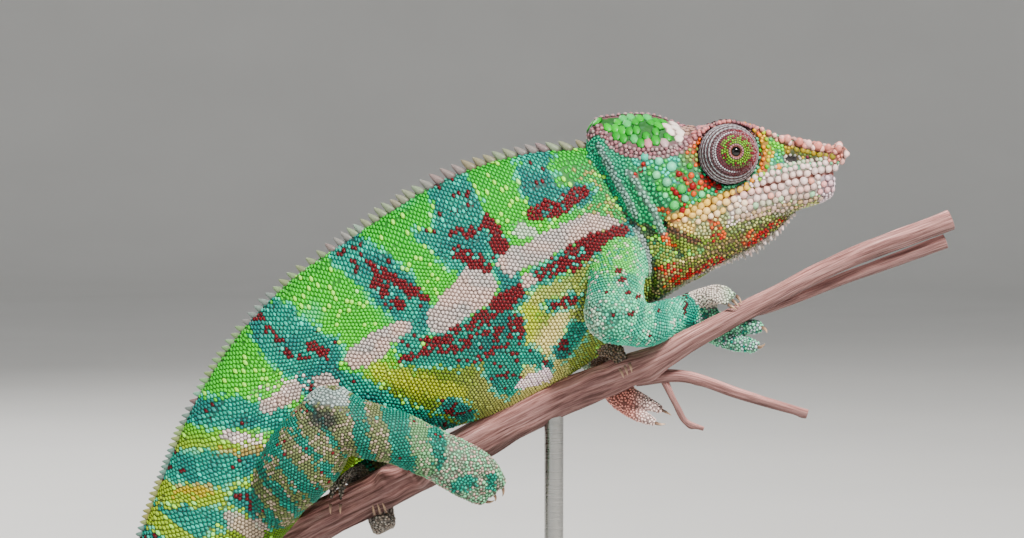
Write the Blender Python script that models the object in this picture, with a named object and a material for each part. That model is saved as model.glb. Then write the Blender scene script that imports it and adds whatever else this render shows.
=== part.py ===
"""A panther chameleon, life size, gripping a cut length of branch on a display stand.

The animal faces +X and stands in the XZ plane, its right side towards -Y. The origin is the
middle of the plinth's underside. Tables are in millimetres and the model is in metres.
"""

import math

import bmesh
import bpy
import numpy as np
from mathutils import Matrix, Vector

MM = 0.001
GAP = 0.3  # air between two pieces that touch

# Display stand: plinth length, width, thickness, and the two rods that hold the branch.
PLINTH_SIZE = (216.0, 92.0, 12.0)
PLINTH_CORNER = 14.0
PLINTH_EDGE = 1.5
ROD_RADIUS = 2.4
COLLAR_RADIUS, COLLAR_HEIGHT = 5.5, 3.0
ROD_PLACES = {"rear": -54.0, "front": 10.5}  # x of each rod

# Branch: rows of x, y, z, radius along its middle line.
BRANCH = [
    (-86.0, 17.6, 73.6, 5.5), (-72.0, 14.6, 80.9, 5.6), (-58.0, 11.4, 88.6, 5.4), (-43.0, 8.0, 96.6, 5.3),
    (-28.0, 5.0, 104.4, 5.2), (-12.0, 2.4, 112.9, 5.0), (3.0, 0.6, 120.9, 4.6), (14.0, -0.8, 126.4, 4.4),
    (27.0, -3.2, 131.8, 4.2), (38.0, -8.0, 137.2, 3.2), (47.0, -10.0, 142.6, 2.7), (62.0, -10.5, 150.6, 2.4),
    (84.0, -10.5, 161.6, 2.4), (108.0, -10.0, 170.6, 2.6),
]
SHOOT = [(57.5, -9.0, 147.6, 0.9), (64.0, -8.4, 148.8, 1.1), (84.0, -8.0, 156.8, 1.5),
         (107.0, -8.0, 165.2, 1.8)]
TWIG = [(31.0, -4.6, 131.0, 2.1), (43.0, -6.6, 131.6, 1.5), (58.0, -8.0, 126.9, 1.3),
        (73.0, -9.0, 122.6, 1.1)]
TWIGLET = [(37.6, -5.4, 131.0, 0.9), (40.4, -7.0, 125.2, 0.7), (43.0, -8.0, 120.6, 0.7),
           (47.4, -8.4, 118.8, 0.5)]

# Spine from inside the head to the tail's hanging length: x, z, half depth, half width.
SPINE = [
    (44.0, 171.5, 16.0, 9.0), (33.0, 170.6, 19.6, 9.6), (27.0, 169.3, 21.0, 9.8), (18.2, 165.2, 25.2, 10.6),
    (7.8, 160.1, 28.1, 11.3), (-3.3, 154.6, 29.4, 11.8), (-14.7, 148.5, 29.2, 12.0), (-26.3, 142.9, 27.5, 11.9),
    (-38.4, 137.2, 25.2, 11.5), (-48.9, 129.6, 23.2, 11.0), (-56.9, 121.8, 21.4, 10.5), (-63.0, 114.3, 19.8, 10.2),
    (-67.8, 106.6, 18.4, 9.9), (-72.8, 98.2, 17.0, 9.4), (-78.2, 89.6, 15.1, 8.7), (-83.8, 80.4, 12.8, 7.7),
    (-88.6, 70.8, 10.5, 6.8), (-92.0, 60.4, 8.5, 6.0), (-93.8, 49.6, 7.0, 5.3), (-94.0, 38.6, 6.0, 4.7),
]
# The tail's coil: an equiangular spiral that starts where the hanging length ends.
COIL_CENTRE = (-76.6, 38.0)
COIL_START, COIL_SHRINK, COIL_TURNS = 17.4, 0.118, 1.72
COIL_THICK = (5.6, 0.95)  # half thickness at its start and at the tip
CUTS = {"neck": (0.035, 0.072), "trunk": (0.072, 0.452), "tail_base": (0.452, 0.545),
        "tail_hanging": (0.545, 0.69), "tail_coil_outer": (0.69, 0.86), "tail_coil_inner": (0.86, 1.0)}
RING = 12  # corners of a body section
# The crest's cones: heights near the head and on the tail, spacing, foot radius, tip radius, how deep
# they are sunk, how far they lean back, the shares of the spine over which they shrink, and the room
# left at either end of a piece.
CREST = {"tall": 2.5, "low": 1.0, "spacing": 3.9, "radius": 0.95, "tip": 0.12, "sunk": 0.8, "lean": 0.35,
         "shrinks": (0.07, 0.57), "inset": 2.0}

# Head sections: x, top z, crest y and z, cheek y and z, lip y, mouth z.
HEAD = [
    (18.4, 192.4, 2.2, 191.2, 3.4, 188.8, 2.6, 185.6), (21.0, 195.9, 4.4, 194.2, 6.6, 187.0, 5.0, 180.0),
    (25.0, 196.9, 7.6, 190.2, 9.4, 184.0, 8.0, 174.0),
    (30.0, 197.4, 10.2, 188.4, 11.2, 180.3, 10.4, 170.0), (35.8, 196.9, 11.0, 188.3, 12.3, 177.8, 11.4, 169.4),
    (42.0, 194.6, 9.8, 189.8, 12.0, 178.2, 11.6, 171.4), (48.0, 194.0, 8.6, 194.2, 10.4, 182.6, 11.1, 174.0),
    (54.0, 195.0, 8.4, 195.9, 9.0, 185.6, 10.2, 176.5), (60.0, 193.5, 8.0, 194.5, 8.2, 186.0, 9.3, 178.5),
    (66.0, 190.8, 7.0, 191.9, 7.0, 186.2, 8.3, 179.9), (72.0, 189.2, 6.0, 190.5, 5.7, 186.0, 7.1, 181.0),
    (77.5, 188.2, 5.2, 189.4, 4.7, 185.4, 5.8, 181.9), (81.3, 187.4, 4.3, 188.4, 3.8, 184.8, 4.4, 182.4),
]
SNOUT_KNOB = (81.2, 0.0, 186.9), (2.7, 4.9, 2.6)  # centre and half sizes of the ridge's blunt end
CASQUE_BLOCK = (17.0, 46.6), (187.4, 200.0)  # x and z range of the head that is casque
JAW_DEPTH = [(36.5, 161.8), (42.0, 160.2), (48.0, 162.4), (54.0, 165.4), (60.0, 167.9), (66.0, 170.3),
             (72.0, 172.6), (77.5, 174.3), (80.6, 176.2)]  # x, lower line z
THROAT = [(70.5, 171.6, 3.4), (66.0, 166.8, 5.0), (61.0, 163.2, 6.0), (54.0, 159.4, 7.0), (47.0, 156.2, 7.6),
          (40.0, 151.9, 8.0), (34.5, 148.4, 8.2)]  # x, lower line z, half width
GULAR_SPINES = {"reach": (42.0, 66.0), "spacing": 2.7, "tall": 2.6, "longest_at": 60.0, "radius": 0.6,
                "tip": 0.1, "sunk": 0.6, "lean": 0.45}
# The left eye: its turret's centre, radius and gaze, the opening's radius, and the ball behind it, which
# lies `behind` under the turret's surface. The opening's cutter stands `ahead` of the ball.
EYE = {"centre": (53.4, 8.0, 186.8), "radius": 7.8, "gaze": (0.19, 0.975, 0.1), "opening": 1.5, "ball": 1.4,
       "behind": 0.1, "ahead": 0.2}

# Legs: rows of x, y, z, radius. Bundles: such rows, and how many toes are in the bundle.
LEGS = {
    "right_thigh": [(-60.5, -2.0, 98.5, 6.0), (-57.2, -7.0, 103.6, 7.8), (-50.8, -12.0, 112.6, 9.8),
                    (-44.6, -15.5, 122.9, 7.6)],
    "right_shank": [(-43.8, -15.8, 122.4, 6.9), (-36.6, -16.2, 119.6, 7.2), (-28.2, -15.2, 117.3, 6.8),
                    (-21.4, -13.4, 114.0, 6.4)],
    "left_thigh": [(-61.5, 4.0, 99.6, 6.4), (-57.8, 9.0, 104.8, 8.2), (-52.0, 14.6, 111.4, 9.4),
                   (-46.4, 19.4, 117.4, 7.4)],
    "left_shank": [(-45.8, 19.8, 117.6, 6.2), (-39.6, 20.4, 111.6, 6.0), (-35.4, 18.4, 105.4, 5.4)],
    "right_upper_arm": [(27.6, -6.0, 161.8, 6.2), (25.6, -12.8, 154.6, 7.0), (25.0, -16.8, 148.2, 7.7)],
    "right_forearm": [(25.2, -17.2, 147.2, 6.3), (32.6, -13.8, 144.9, 5.6), (40.0, -5.0, 146.6, 4.6),
                      (45.6, -0.6, 148.4, 4.0)],
    "left_upper_arm": [(27.6, 6.0, 162.0, 6.6), (22.0, 13.0, 152.0, 7.2), (17.6, 16.6, 143.0, 7.0)],
    "left_forearm": [(17.4, 16.6, 142.4, 5.6), (20.2, 13.8, 136.6, 5.0), (24.0, 9.4, 132.0, 4.2)],
}
BUNDLES = {
    "right_foot_outer": ([(-20.0, -12.4, 113.4, 5.7), (-13.8, -11.0, 110.0, 6.0), (-9.2, -9.6, 107.0, 5.5),
                          (-5.6, -7.2, 103.4, 4.0)], 3),
    "right_foot_inner": ([(-20.8, -9.6, 113.8, 3.6), (-20.0, -4.6, 116.8, 2.5), (-19.4, 1.4, 117.6, 2.1),
                          (-18.6, 7.2, 115.8, 1.9), (-17.8, 10.4, 112.0, 1.7)], 2),
    "left_foot_outer": ([(-35.0, 17.6, 102.0, 4.6), (-34.0, 14.4, 95.8, 3.6), (-32.6, 7.6, 92.6, 3.0),
                         (-32.2, 0.4, 93.6, 2.5), (-32.8, -2.2, 96.4, 2.0)], 3),
    "left_foot_inner": ([(-36.8, 17.0, 103.4, 4.0), (-40.6, 12.6, 104.6, 3.0), (-42.8, 6.0, 105.8, 2.5),
                         (-43.8, 1.0, 103.2, 2.2), (-44.2, -0.8, 99.6, 1.8)], 2),
    "right_hand_outer": ([(47.0, -1.4, 147.0, 3.8), (50.4, -3.0, 143.6, 4.1), (55.6, -6.4, 142.4, 4.1),
                          (60.0, -9.8, 141.8, 3.3)], 2),
    "right_hand_inner": ([(46.6, -0.8, 149.2, 3.9), (49.2, -3.4, 151.4, 3.4), (51.0, -6.6, 151.9, 2.9),
                          (52.4, -9.2, 151.7, 2.4), (53.9, -11.2, 151.0, 2.0)], 3),
    "left_hand_outer": ([(25.0, 7.8, 130.8, 3.9), (27.0, 4.2, 126.4, 3.7), (31.4, -0.4, 123.6, 3.4),
                         (36.0, -3.4, 121.6, 2.5)], 2),
    "left_hand_inner": ([(24.2, 8.6, 132.8, 3.6), (22.6, 4.2, 137.4, 3.2), (23.8, -2.0, 138.6, 2.7),
                         (26.0, -6.2, 137.4, 2.2), (27.6, -8.4, 134.8, 1.8)], 3),
}
# The way a bundle's toes lie side by side: along the branch, or as given here.
ALONG_BRANCH = (0.89, -0.14, 0.44)
ACROSS = {"right_foot_outer": (0.78, -0.1, 0.62), "right_hand_outer": (0.1, 0.2, 0.97)}
# A bundle of three or two toes: how much wider it gets, its grooves across it and their depth.
TOE_SECTION = {3: (0.5, (0.36, -0.36), 0.24), 2: (0.2, (0.0,), 0.24)}
TOE_FLATTER = 0.28  # how much flatter a bundle gets towards its tips
CLAW_LENGTH, CLAW_RADIUS, CLAW_TIP = 1.7, 0.55, 0.1
CLAW_PLACES, CLAW_FAN, CLAW_AHEAD = 1.55, 0.25, 0.35  # how far apart claws stand, fan out and start ahead

SKIN = {"green": (0.22, 0.55, 0.18), "teal": (0.02, 0.42, 0.36), "olive": (0.45, 0.5, 0.25),
        "lip": (0.75, 0.62, 0.5)}
BARK, STEEL, WOOD = (0.45, 0.33, 0.29), (0.62, 0.62, 0.6), (0.12, 0.07, 0.045)
HORN, EYE_DARK = (0.6, 0.42, 0.25), (0.02, 0.02, 0.02)


# ---------------------------------------------------------------- scene, materials and modelling helpers


def clear_scene():
    for thing in list(bpy.data.objects):
        bpy.data.objects.remove(thing)


def collection(name, rendered=True):
    group = bpy.data.collections.new(name)
    group.hide_render = not rendered
    bpy.context.scene.collection.children.link(group)
    return group


def material(name, colour, roughness=0.6, metallic=0.0):
    """One Principled BSDF with these values."""
    found = bpy.data.materials.get(name) or bpy.data.materials.new(name)
    found.use_nodes = True
    shader = found.node_tree.nodes["Principled BSDF"].inputs
    shader["Base Color"].default_value = (*colour, 1.0)
    shader["Roughness"].default_value = roughness
    shader["Metallic"].default_value = metallic
    return found


def smooth(rows, count):
    """The rows as `count` samples of a Catmull-Rom curve, evenly spaced in the rows' own parameter."""
    rows = np.asarray(rows, float)
    padded = np.vstack([2 * rows[0] - rows[1], rows, 2 * rows[-1] - rows[-2]])
    at = np.linspace(0, len(rows) - 1, count)
    i = np.minimum(at.astype(int), len(rows) - 2)
    t = (at - i)[:, None]
    a, b, c, d = (padded[i + k] for k in range(4))
    return 0.5 * (2 * b + (c - a) * t + (2 * a - 5 * b + 4 * c - d) * t**2 + (3 * b - a - 3 * c + d) * t**3)


def new_object(name, mesh, group, finish=None):
    made = bpy.data.objects.new(name, mesh)
    group.objects.link(made)
    if finish:
        mesh.materials.append(finish)
    return made


def loft(name, rings, group, finish=None, grow=0.0):
    """A closed solid through rings of equal length in millimetres, with flat ends; `grow` swells it."""
    rings = [np.asarray(ring, float) for ring in rings]
    if grow:
        centres = [ring.mean(axis=0) for ring in rings]
        rings = [c + (r - c) * (1 + grow / np.linalg.norm(r - c, axis=1, keepdims=True))
                 for r, c in zip(rings, centres)]
        for end, inner in ((0, 1), (-1, -2)):
            outward = centres[end] - centres[inner]
            rings[end] = rings[end] + grow * outward / np.linalg.norm(outward)
    form = bmesh.new()
    rows = [[form.verts.new(Vector(p) * MM) for p in ring] for ring in rings]
    for near, far in zip(rows, rows[1:]):
        for i in range(len(near)):
            j = (i + 1) % len(near)
            form.faces.new((near[i], near[j], far[j], far[i]))
    form.faces.new(rows[0][::-1])
    form.faces.new(rows[-1])
    bmesh.ops.recalc_face_normals(form, faces=form.faces)
    return from_bmesh(name, form, group, finish)


def from_bmesh(name, form, group, finish=None):
    mesh = bpy.data.meshes.new(name)
    form.to_mesh(mesh)
    form.free()
    mesh.shade_smooth()
    mesh.set_sharp_from_angle(angle=math.radians(40))
    return new_object(name, mesh, group, finish)


def tube(name, rows, group, finish=None, grow=0.0, steps=8, sides=2, blunt=0.0):
    """A tapered round tube as a mesh: a poly curve with a bevel, whose ends close in over `blunt` radii."""
    line = smooth(rows, steps)
    line[:, 3] += grow
    if blunt:
        cap = [(0.55, 0.84), (0.9, 0.44)]  # how far out, and how wide, as shares of the radius
        ends = []
        for (*place, radius), inner in ((line[0], line[1, :3]), (line[-1], line[-2, :3])):
            outward = (place - inner) / np.linalg.norm(place - inner)
            ends.append([[*(place + outward * radius * k * blunt), radius * s] for k, s in cap])
        line = np.vstack([ends[0][::-1], line, ends[1]])
    elif grow:
        line[-1, :3] += grow * (line[-1, :3] - line[-2, :3]) / np.linalg.norm(line[-1, :3] - line[-2, :3])
    curve = bpy.data.curves.new(name + "_line", "CURVE")
    curve.dimensions, curve.bevel_depth, curve.bevel_resolution, curve.use_fill_caps = "3D", MM, sides, True
    spline = curve.splines.new("POLY")
    spline.points.add(len(line) - 1)
    for point, (x, y, z, radius) in zip(spline.points, line):
        point.co = (x * MM, y * MM, z * MM, 1.0)
        point.radius = radius
    holder = bpy.data.objects.new(name + "_line", curve)
    group.objects.link(holder)
    bpy.context.view_layer.update()
    mesh = bpy.data.meshes.new_from_object(holder.evaluated_get(bpy.context.evaluated_depsgraph_get()))
    bpy.data.objects.remove(holder)
    form = bmesh.new()
    form.from_mesh(mesh)
    bpy.data.meshes.remove(mesh)
    bmesh.ops.remove_doubles(form, verts=form.verts, dist=0.00001)
    bmesh.ops.recalc_face_normals(form, faces=form.faces)
    return from_bmesh(name, form, group, finish)


def boolean(piece, operation, *others, solver="EXACT"):
    """Live Boolean modifiers on the piece, one for each other object."""
    for other in others:
        modifier = piece.modifiers.new(f"{operation.lower()}_{other.name}"[:60], "BOOLEAN")
        modifier.operation, modifier.solver, modifier.object = operation, solver, other


def settle(piece):
    """Applies the piece's Booleans and keeps its main body, without the slivers that its cuts leave."""
    seen = piece.evaluated_get(bpy.context.evaluated_depsgraph_get())
    form = bmesh.new()
    form.from_mesh(seen.to_mesh())
    seen.to_mesh_clear()
    loose, islands = set(form.verts), []
    while loose:
        front = {loose.pop()}
        island = set(front)
        while front:
            front = {e.other_vert(v) for v in front for e in v.link_edges} & loose
            island |= front
            loose -= front
        islands.append(island)
    main = max(islands, key=lambda island: sum(face.calc_area() for v in island for face in v.link_faces))
    bmesh.ops.delete(form, geom=[v for v in form.verts if v not in main], context="VERTS")
    bmesh.ops.triangulate(form, faces=form.faces)
    form.to_mesh(piece.data)
    form.free()
    piece.modifiers.clear()


# ---------------------------------------------------------------- the body's long sweep


def spine_line():
    """Dense rows of x, z, half depth, half width: the table's smooth curve and then the coil."""
    hanging = smooth(SPINE, 10 * (len(SPINE) - 1) + 1)
    angle = math.pi + np.linspace(0, COIL_TURNS * 2 * math.pi, 140)[1:]
    share = (angle - math.pi) / (COIL_TURNS * 2 * math.pi)
    reach = COIL_START * np.exp(-COIL_SHRINK * (angle - math.pi))
    thick = COIL_THICK[0] + (COIL_THICK[1] - COIL_THICK[0]) * share**0.8
    x, z = COIL_CENTRE[0] + reach * np.cos(angle), COIL_CENTRE[1] + reach * np.sin(angle)
    coil = np.stack([x, z, thick, 0.86 * thick], 1)
    return np.vstack([hanging, coil])


def along_spine(count, start=0.0, end=1.0):
    """`count` rows evenly spaced between two shares of the spine's length, each with its upward direction."""
    line = spine_line()
    step = np.linalg.norm(np.diff(line[:, :2], axis=0), axis=1)
    share = np.concatenate([[0], np.cumsum(step)]) / step.sum()
    heading = np.gradient(line[:, :2], share, axis=0)
    heading /= np.linalg.norm(heading, axis=1, keepdims=True)
    table = np.column_stack([line, heading[:, 1], -heading[:, 0]])
    at = np.linspace(start, end, count)
    return np.stack([np.interp(at, share, table[:, k]) for k in range(table.shape[1])], axis=1)


def spine_length():
    """The spine's length from inside the head to the tail's tip."""
    return np.linalg.norm(np.diff(spine_line()[:, :2], axis=0), axis=1).sum()


def flank(height):
    """Half width of a body section as a share of its widest, at a height from -1, belly, to 1, back."""
    return (1 - np.abs(height) ** 2.2) ** 0.6 * (1 - 0.2 * height)


def body_rings(count, start, end):
    turn = np.arange(RING) * 2 * math.pi / RING
    rings = []
    for x, z, depth, width, up_x, up_z in along_spine(count, start, end):
        height = np.cos(turn)
        side = np.sign(np.sin(turn)) * width * flank(height)
        rings.append(np.stack([x + up_x * depth * height, side, z + up_z * depth * height], axis=1))
    return rings


def crest_cones(name, start, end, group):
    """The row of conical scales down the middle of the back, leaning towards the tail, in one mesh."""
    form = bmesh.new()
    at = start
    while at < end:
        x, z, depth, _, up_x, up_z = along_spine(1, at, at)[0]
        fade = np.interp(at, CREST["shrinks"], (0, 1))
        tall = CREST["tall"] + (CREST["low"] - CREST["tall"]) * fade
        spacing = CREST["spacing"] * (1 - 0.42 * fade)
        radius = CREST["radius"] * (1 - 0.4 * fade)
        back = CREST["lean"]
        lean = Vector((up_x - back * up_z, 0, up_z + back * up_x)).normalized()
        sunk = CREST["sunk"]
        middle = Vector((x + up_x * depth, 0, z + up_z * depth)) + lean * ((tall - sunk) / 2)
        place = Matrix.Translation(middle * MM) @ lean.to_track_quat("Z", "Y").to_matrix().to_4x4()
        bmesh.ops.create_cone(form, segments=4, cap_ends=True, radius1=radius * MM,
                              radius2=CREST["tip"] * MM, depth=(tall + sunk) * MM, matrix=place)
        at += spacing / spine_length()
    return from_bmesh(name, form, group)


def build_body(parts, tools, finishes):
    """Neck, trunk and tail lengths, parted where the head's and legs' own pieces begin."""
    stations = {"neck": 5, "trunk": 19, "tail_base": 7, "tail_hanging": 8, "tail_coil_outer": 13,
                "tail_coil_inner": 13}
    half_gap = 0.5 * GAP / spine_length()
    made = {}
    for name, (start, end) in CUTS.items():
        rings = body_rings(stations[name], start + half_gap, end - half_gap * (end < 1))
        made[name] = loft(name, rings, parts, finishes["teal" if name.startswith("tail") else "green"])
    for name in ("trunk", "tail_base"):
        start, end = CUTS[name]
        inset = CREST["inset"] / spine_length()
        boolean(made[name], "UNION", crest_cones(name + "_crest", start + inset, end - inset, tools))
    return made


# ---------------------------------------------------------------- head


def head_rings():
    """Head sections from nape to snout: roof, crest, cheek, lip and the mouth's flat."""
    rings = []
    for x, top, crest_y, crest_z, cheek_y, cheek_z, lip_y, mouth in smooth(HEAD, 19):
        roof = crest_z + (top - crest_z) * 0.62
        side = [
            (0.55 * crest_y, roof), (crest_y, crest_z),
            (crest_y - 0.5 + 0.25 * (cheek_y - crest_y), crest_z - 1.5), (cheek_y, cheek_z),
            (0.5 * (cheek_y + lip_y) + 0.15, 0.5 * (cheek_z + mouth)), (lip_y, mouth + 1.0), (lip_y - 0.9, mouth),
        ]
        ring = [(x, 0, top), *((x, y, z) for y, z in side), (x, 0, mouth), *((x, -y, z) for y, z in side[::-1])]
        rings.append(ring)
    return rings


def jaw_rings():
    """Lower jaw sections from its angle to the chin, a gap below the mouth line."""
    knots = np.array(HEAD)
    rings = []
    for x, low in smooth(JAW_DEPTH, 11):
        lip, mouth = (np.interp(x, knots[:, 0], knots[:, k]) for k in (6, 7))
        mouth -= GAP
        side = [(lip - 0.7, mouth), (lip, mouth - 1.0), (0.94 * lip, 0.5 * (mouth + low)), (0.66 * lip, low + 0.9)]
        rings.append([(x, 0, mouth), *((x, y, z) for y, z in side), (x, 0, low),
                      *((x, -y, z) for y, z in side[::-1])])
    return rings


def throat_rings():
    """The gular pouch under the jaw, from chin to neck."""
    rings = []
    for x, low, width in smooth(THROAT, 9):
        high = low + 6.0 + 0.7 * width
        side = [(width, high), (width, 0.45 * high + 0.55 * low), (0.6 * width, low + 1.2)]
        rings.append([(x, 0, high), *((x, y, z) for y, z in side), (x, 0, low),
                      *((x, -y, z) for y, z in side[::-1])])
    return rings


def gular_spines(group):
    """The fringe of small cones along the throat's lower line, longest under the jaw, in one mesh."""
    form = bmesh.new()
    line = np.array(THROAT)
    for x in np.arange(*GULAR_SPINES["reach"], GULAR_SPINES["spacing"]):
        low = np.interp(x, line[::-1, 0], line[::-1, 1])
        tall = GULAR_SPINES["tall"] * (1 - 0.5 * abs(x - GULAR_SPINES["longest_at"]) / 14)
        lean = Vector((GULAR_SPINES["lean"], 0, -1)).normalized()
        middle = Vector((x, 0, low + GULAR_SPINES["sunk"])) + lean * tall / 2
        place = Matrix.Translation(middle * MM) @ lean.to_track_quat("Z", "Y").to_matrix().to_4x4()
        bmesh.ops.create_cone(form, segments=4, cap_ends=True, radius1=GULAR_SPINES["radius"] * MM,
                              radius2=GULAR_SPINES["tip"] * MM, depth=tall * MM, matrix=place)
    return from_bmesh("gular_spines", form, group)


def ball(name, centre, radii, group, finish=None, grow=0.0, segments=20):
    form = bmesh.new()
    bmesh.ops.create_uvsphere(form, u_segments=segments, v_segments=segments // 2 + 2, radius=MM)
    sizes = Matrix.Diagonal([r + grow for r in radii] + [1])
    bmesh.ops.transform(form, matrix=Matrix.Translation(Vector(centre) * MM) @ sizes, verts=form.verts)
    return from_bmesh(name, form, group, finish)


def block(name, low, high, group):
    form = bmesh.new()
    bmesh.ops.create_cube(form, size=1.0)
    middle = (Vector(low) + Vector(high)) / 2 * MM
    size = (Vector(high) - Vector(low)) * MM
    bmesh.ops.transform(form, matrix=Matrix.Translation(middle) @ Matrix.Diagonal([*size, 1]), verts=form.verts)
    return from_bmesh(name, form, group)


def build_head(parts, tools, finishes):
    """Head, casque, lower jaw, throat and the two eyes with their turrets."""
    made = {"head": loft("head", head_rings(), parts, finishes["lip"]),
            "casque": loft("casque", head_rings(), parts, finishes["green"])}
    boolean(made["head"], "UNION", ball("snout_knob", *SNOUT_KNOB, tools, segments=12))
    (x0, x1), (z0, z1) = CASQUE_BLOCK
    boolean(made["casque"], "INTERSECT", block("casque_block", (x0, -20, z0), (x1, 20, z1), tools))
    boolean(made["head"], "DIFFERENCE", block("casque_room", (x0 - 9, -29, z0 - GAP), (x1 + GAP, 29, z1 + 9), tools))
    made["lower_jaw"] = loft("lower_jaw", jaw_rings(), parts, finishes["lip"])
    made["throat"] = loft("throat", throat_rings(), parts, finishes["olive"])
    head_room = loft("head_room", head_rings(), tools, grow=GAP)
    jaw_room = loft("jaw_room", jaw_rings(), tools, grow=GAP)
    throat_room = loft("throat_room", throat_rings(), tools, grow=GAP)
    boolean(made["throat"], "UNION", gular_spines(tools))
    boolean(made["throat"], "DIFFERENCE", jaw_room, head_room)
    made["rooms"] = [head_room, jaw_room, throat_room]
    for side, sign in (("right", -1), ("left", 1)):
        centre, gaze = (Vector((x, sign * y, z)) for x, y, z in (EYE["centre"], EYE["gaze"]))
        gaze.normalize()
        turret = ball(f"eye_turret_{side}", centre, [EYE["radius"]] * 3, parts, finishes["olive"], segments=14)
        lens_centre = centre + gaze * (EYE["radius"] - EYE["ball"] - EYE["behind"])
        socket = ball(f"eye_socket_{side}", lens_centre + gaze * EYE["ahead"], [EYE["opening"] + GAP] * 3, tools,
                      segments=12)
        boolean(turret, "DIFFERENCE", head_room, socket)
        ball(f"eye_{side}", lens_centre, [EYE["ball"]] * 3, parts, finishes["eye"], segments=8)
    return made


# ---------------------------------------------------------------- legs, feet and claws


def bundle_frame(name):
    """Stations along a toe bundle: centre, heading, across, radius and size, rounded in at both ends."""
    line = smooth(BUNDLES[name][0], 6)
    heading = np.gradient(line[:, :3], axis=0)
    heading /= np.linalg.norm(heading, axis=1, keepdims=True)
    across = np.array(ACROSS.get(name, ALONG_BRANCH))
    across = across - heading * (heading @ across)[:, None]
    across /= np.linalg.norm(across, axis=1, keepdims=True)
    centre, radius = line[:, :3], line[:, 3]
    caps = [(0, -0.7, 0.5), *((i, 0.0, 1.0) for i in range(len(line))), (-1, 0.5, 0.84), (-1, 0.85, 0.45)]
    return [(centre[i] + heading[i] * radius[i] * k, heading[i], across[i], radius[i], size)
            for i, k, size in caps]


def bundle_rings(name, toes):
    """Sections of a bundle: a flat oval with a groove between each two toes, widening towards the tips."""
    spread, notches, groove = TOE_SECTION[toes]
    stations = bundle_frame(name)
    rings = []
    for i, (centre, heading, across, radius, size) in enumerate(stations):
        share = min(i / (len(stations) - 3), 1.0)
        wide, high = radius * size * (1 + spread * share), radius * size * (1 - TOE_FLATTER * share)
        out = np.cross(heading, across)
        upper = [(u, math.sqrt(max(1 - u * u, 0)) * (1 - groove * share * (u in notches)))
                 for u in places_across(toes)]
        ring = upper + [(u, -v) for u, v in upper[::-1] if v > 0]
        rings.append([centre + across * wide * u + out * high * v for u, v in ring])
    return rings


def places_across(toes):
    """Places across a bundle, from 1 to -1: its edges, the toes' middles and the grooves between them."""
    return (1.0, 0.8, 0.36, 0.0, -0.36, -0.8, -1.0) if toes == 3 else (1.0, 0.55, 0.0, -0.55, -1.0)


def claws(name, toes, parts, room, finish):
    """One hooked cone for each toe, standing a gap off the end of its bundle."""
    centre, heading, across, radius, _ = bundle_frame(name)[-3]
    spread = 1 + TOE_SECTION[toes][0]
    for toe in range(toes):
        place = (toe - (toes - 1) / 2) / toes * CLAW_PLACES
        lean = Vector(heading + CLAW_FAN * place * across).normalized()
        start = Vector(centre + across * radius * spread * place) + lean * radius * CLAW_AHEAD
        length = CLAW_LENGTH + 0.5 * radius
        turned = lean.to_track_quat("Z", "Y").to_matrix().to_4x4()
        place = Matrix.Translation((start + lean * length / 2) * MM) @ turned
        form = bmesh.new()
        bmesh.ops.create_cone(form, segments=4, cap_ends=True, radius1=CLAW_RADIUS * MM, radius2=CLAW_TIP * MM,
                              depth=length * MM, matrix=place)
        boolean(from_bmesh(f"claw_{name}_{toe + 1}", form, parts, finish), "DIFFERENCE", room)


def build_legs(parts, tools, finishes, rooms, branch_room):
    """Upper and lower legs, then the two toe bundles of each foot, each cut clear of what it meets."""
    trunk_room = loft("trunk_room", body_rings(26, 0.02, 0.52), tools, grow=GAP)
    leg_rooms = {}
    for name, rows in LEGS.items():
        steps = 7 if name.endswith(("thigh", "upper_arm")) else 8
        piece = tube(name, rows, parts, finishes["teal"], steps=steps, sides=2, blunt=1.0)
        leg_rooms[name] = tube(name + "_room", rows, tools, grow=GAP, steps=steps, sides=2, blunt=1.0)
        boolean(piece, "DIFFERENCE", trunk_room, branch_room, *(rooms if "arm" in name else []), solver="MANIFOLD")
        if name.endswith(("shank", "forearm")):
            partner = name.replace("shank", "thigh").replace("forearm", "upper_arm")
            boolean(piece, "DIFFERENCE", leg_rooms[partner], solver="MANIFOLD")
    for name, (_, toes) in BUNDLES.items():
        side, limb, which = name.split("_")
        upper, lower = ("thigh", "shank") if limb == "foot" else ("upper_arm", "forearm")
        rings = bundle_rings(name, toes)
        piece = loft(name, rings, parts, finishes["olive"])
        room = loft(name + "_room", rings, tools, grow=GAP)
        neighbours = [leg_rooms[f"{side}_{lower}"], leg_rooms[f"{side}_{upper}"], branch_room, trunk_room]
        if which == "outer":
            outer_room = room
        else:
            neighbours.append(outer_room)
        boolean(piece, "DIFFERENCE", *neighbours, solver="MANIFOLD")
        claws(name, toes, parts, room, finishes["horn"])


# ---------------------------------------------------------------- perch and stand


def build_perch(parts, tools, finishes, branch_room):
    """The branch, cut square at both ends, with its fork and two twigs parted from it."""
    tube("perch_branch", BRANCH, parts, finishes["bark"], steps=18, sides=3)
    for name, rows in (("perch_shoot", SHOOT), ("perch_twig", TWIG), ("perch_twiglet", TWIGLET)):
        piece = tube(name, rows, parts, finishes["bark"], steps=8, sides=1)
        boolean(piece, "DIFFERENCE", branch_room)
        if name == "perch_twiglet":
            boolean(piece, "DIFFERENCE", tube("twig_room", TWIG, tools, grow=GAP, steps=14, sides=2))


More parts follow.
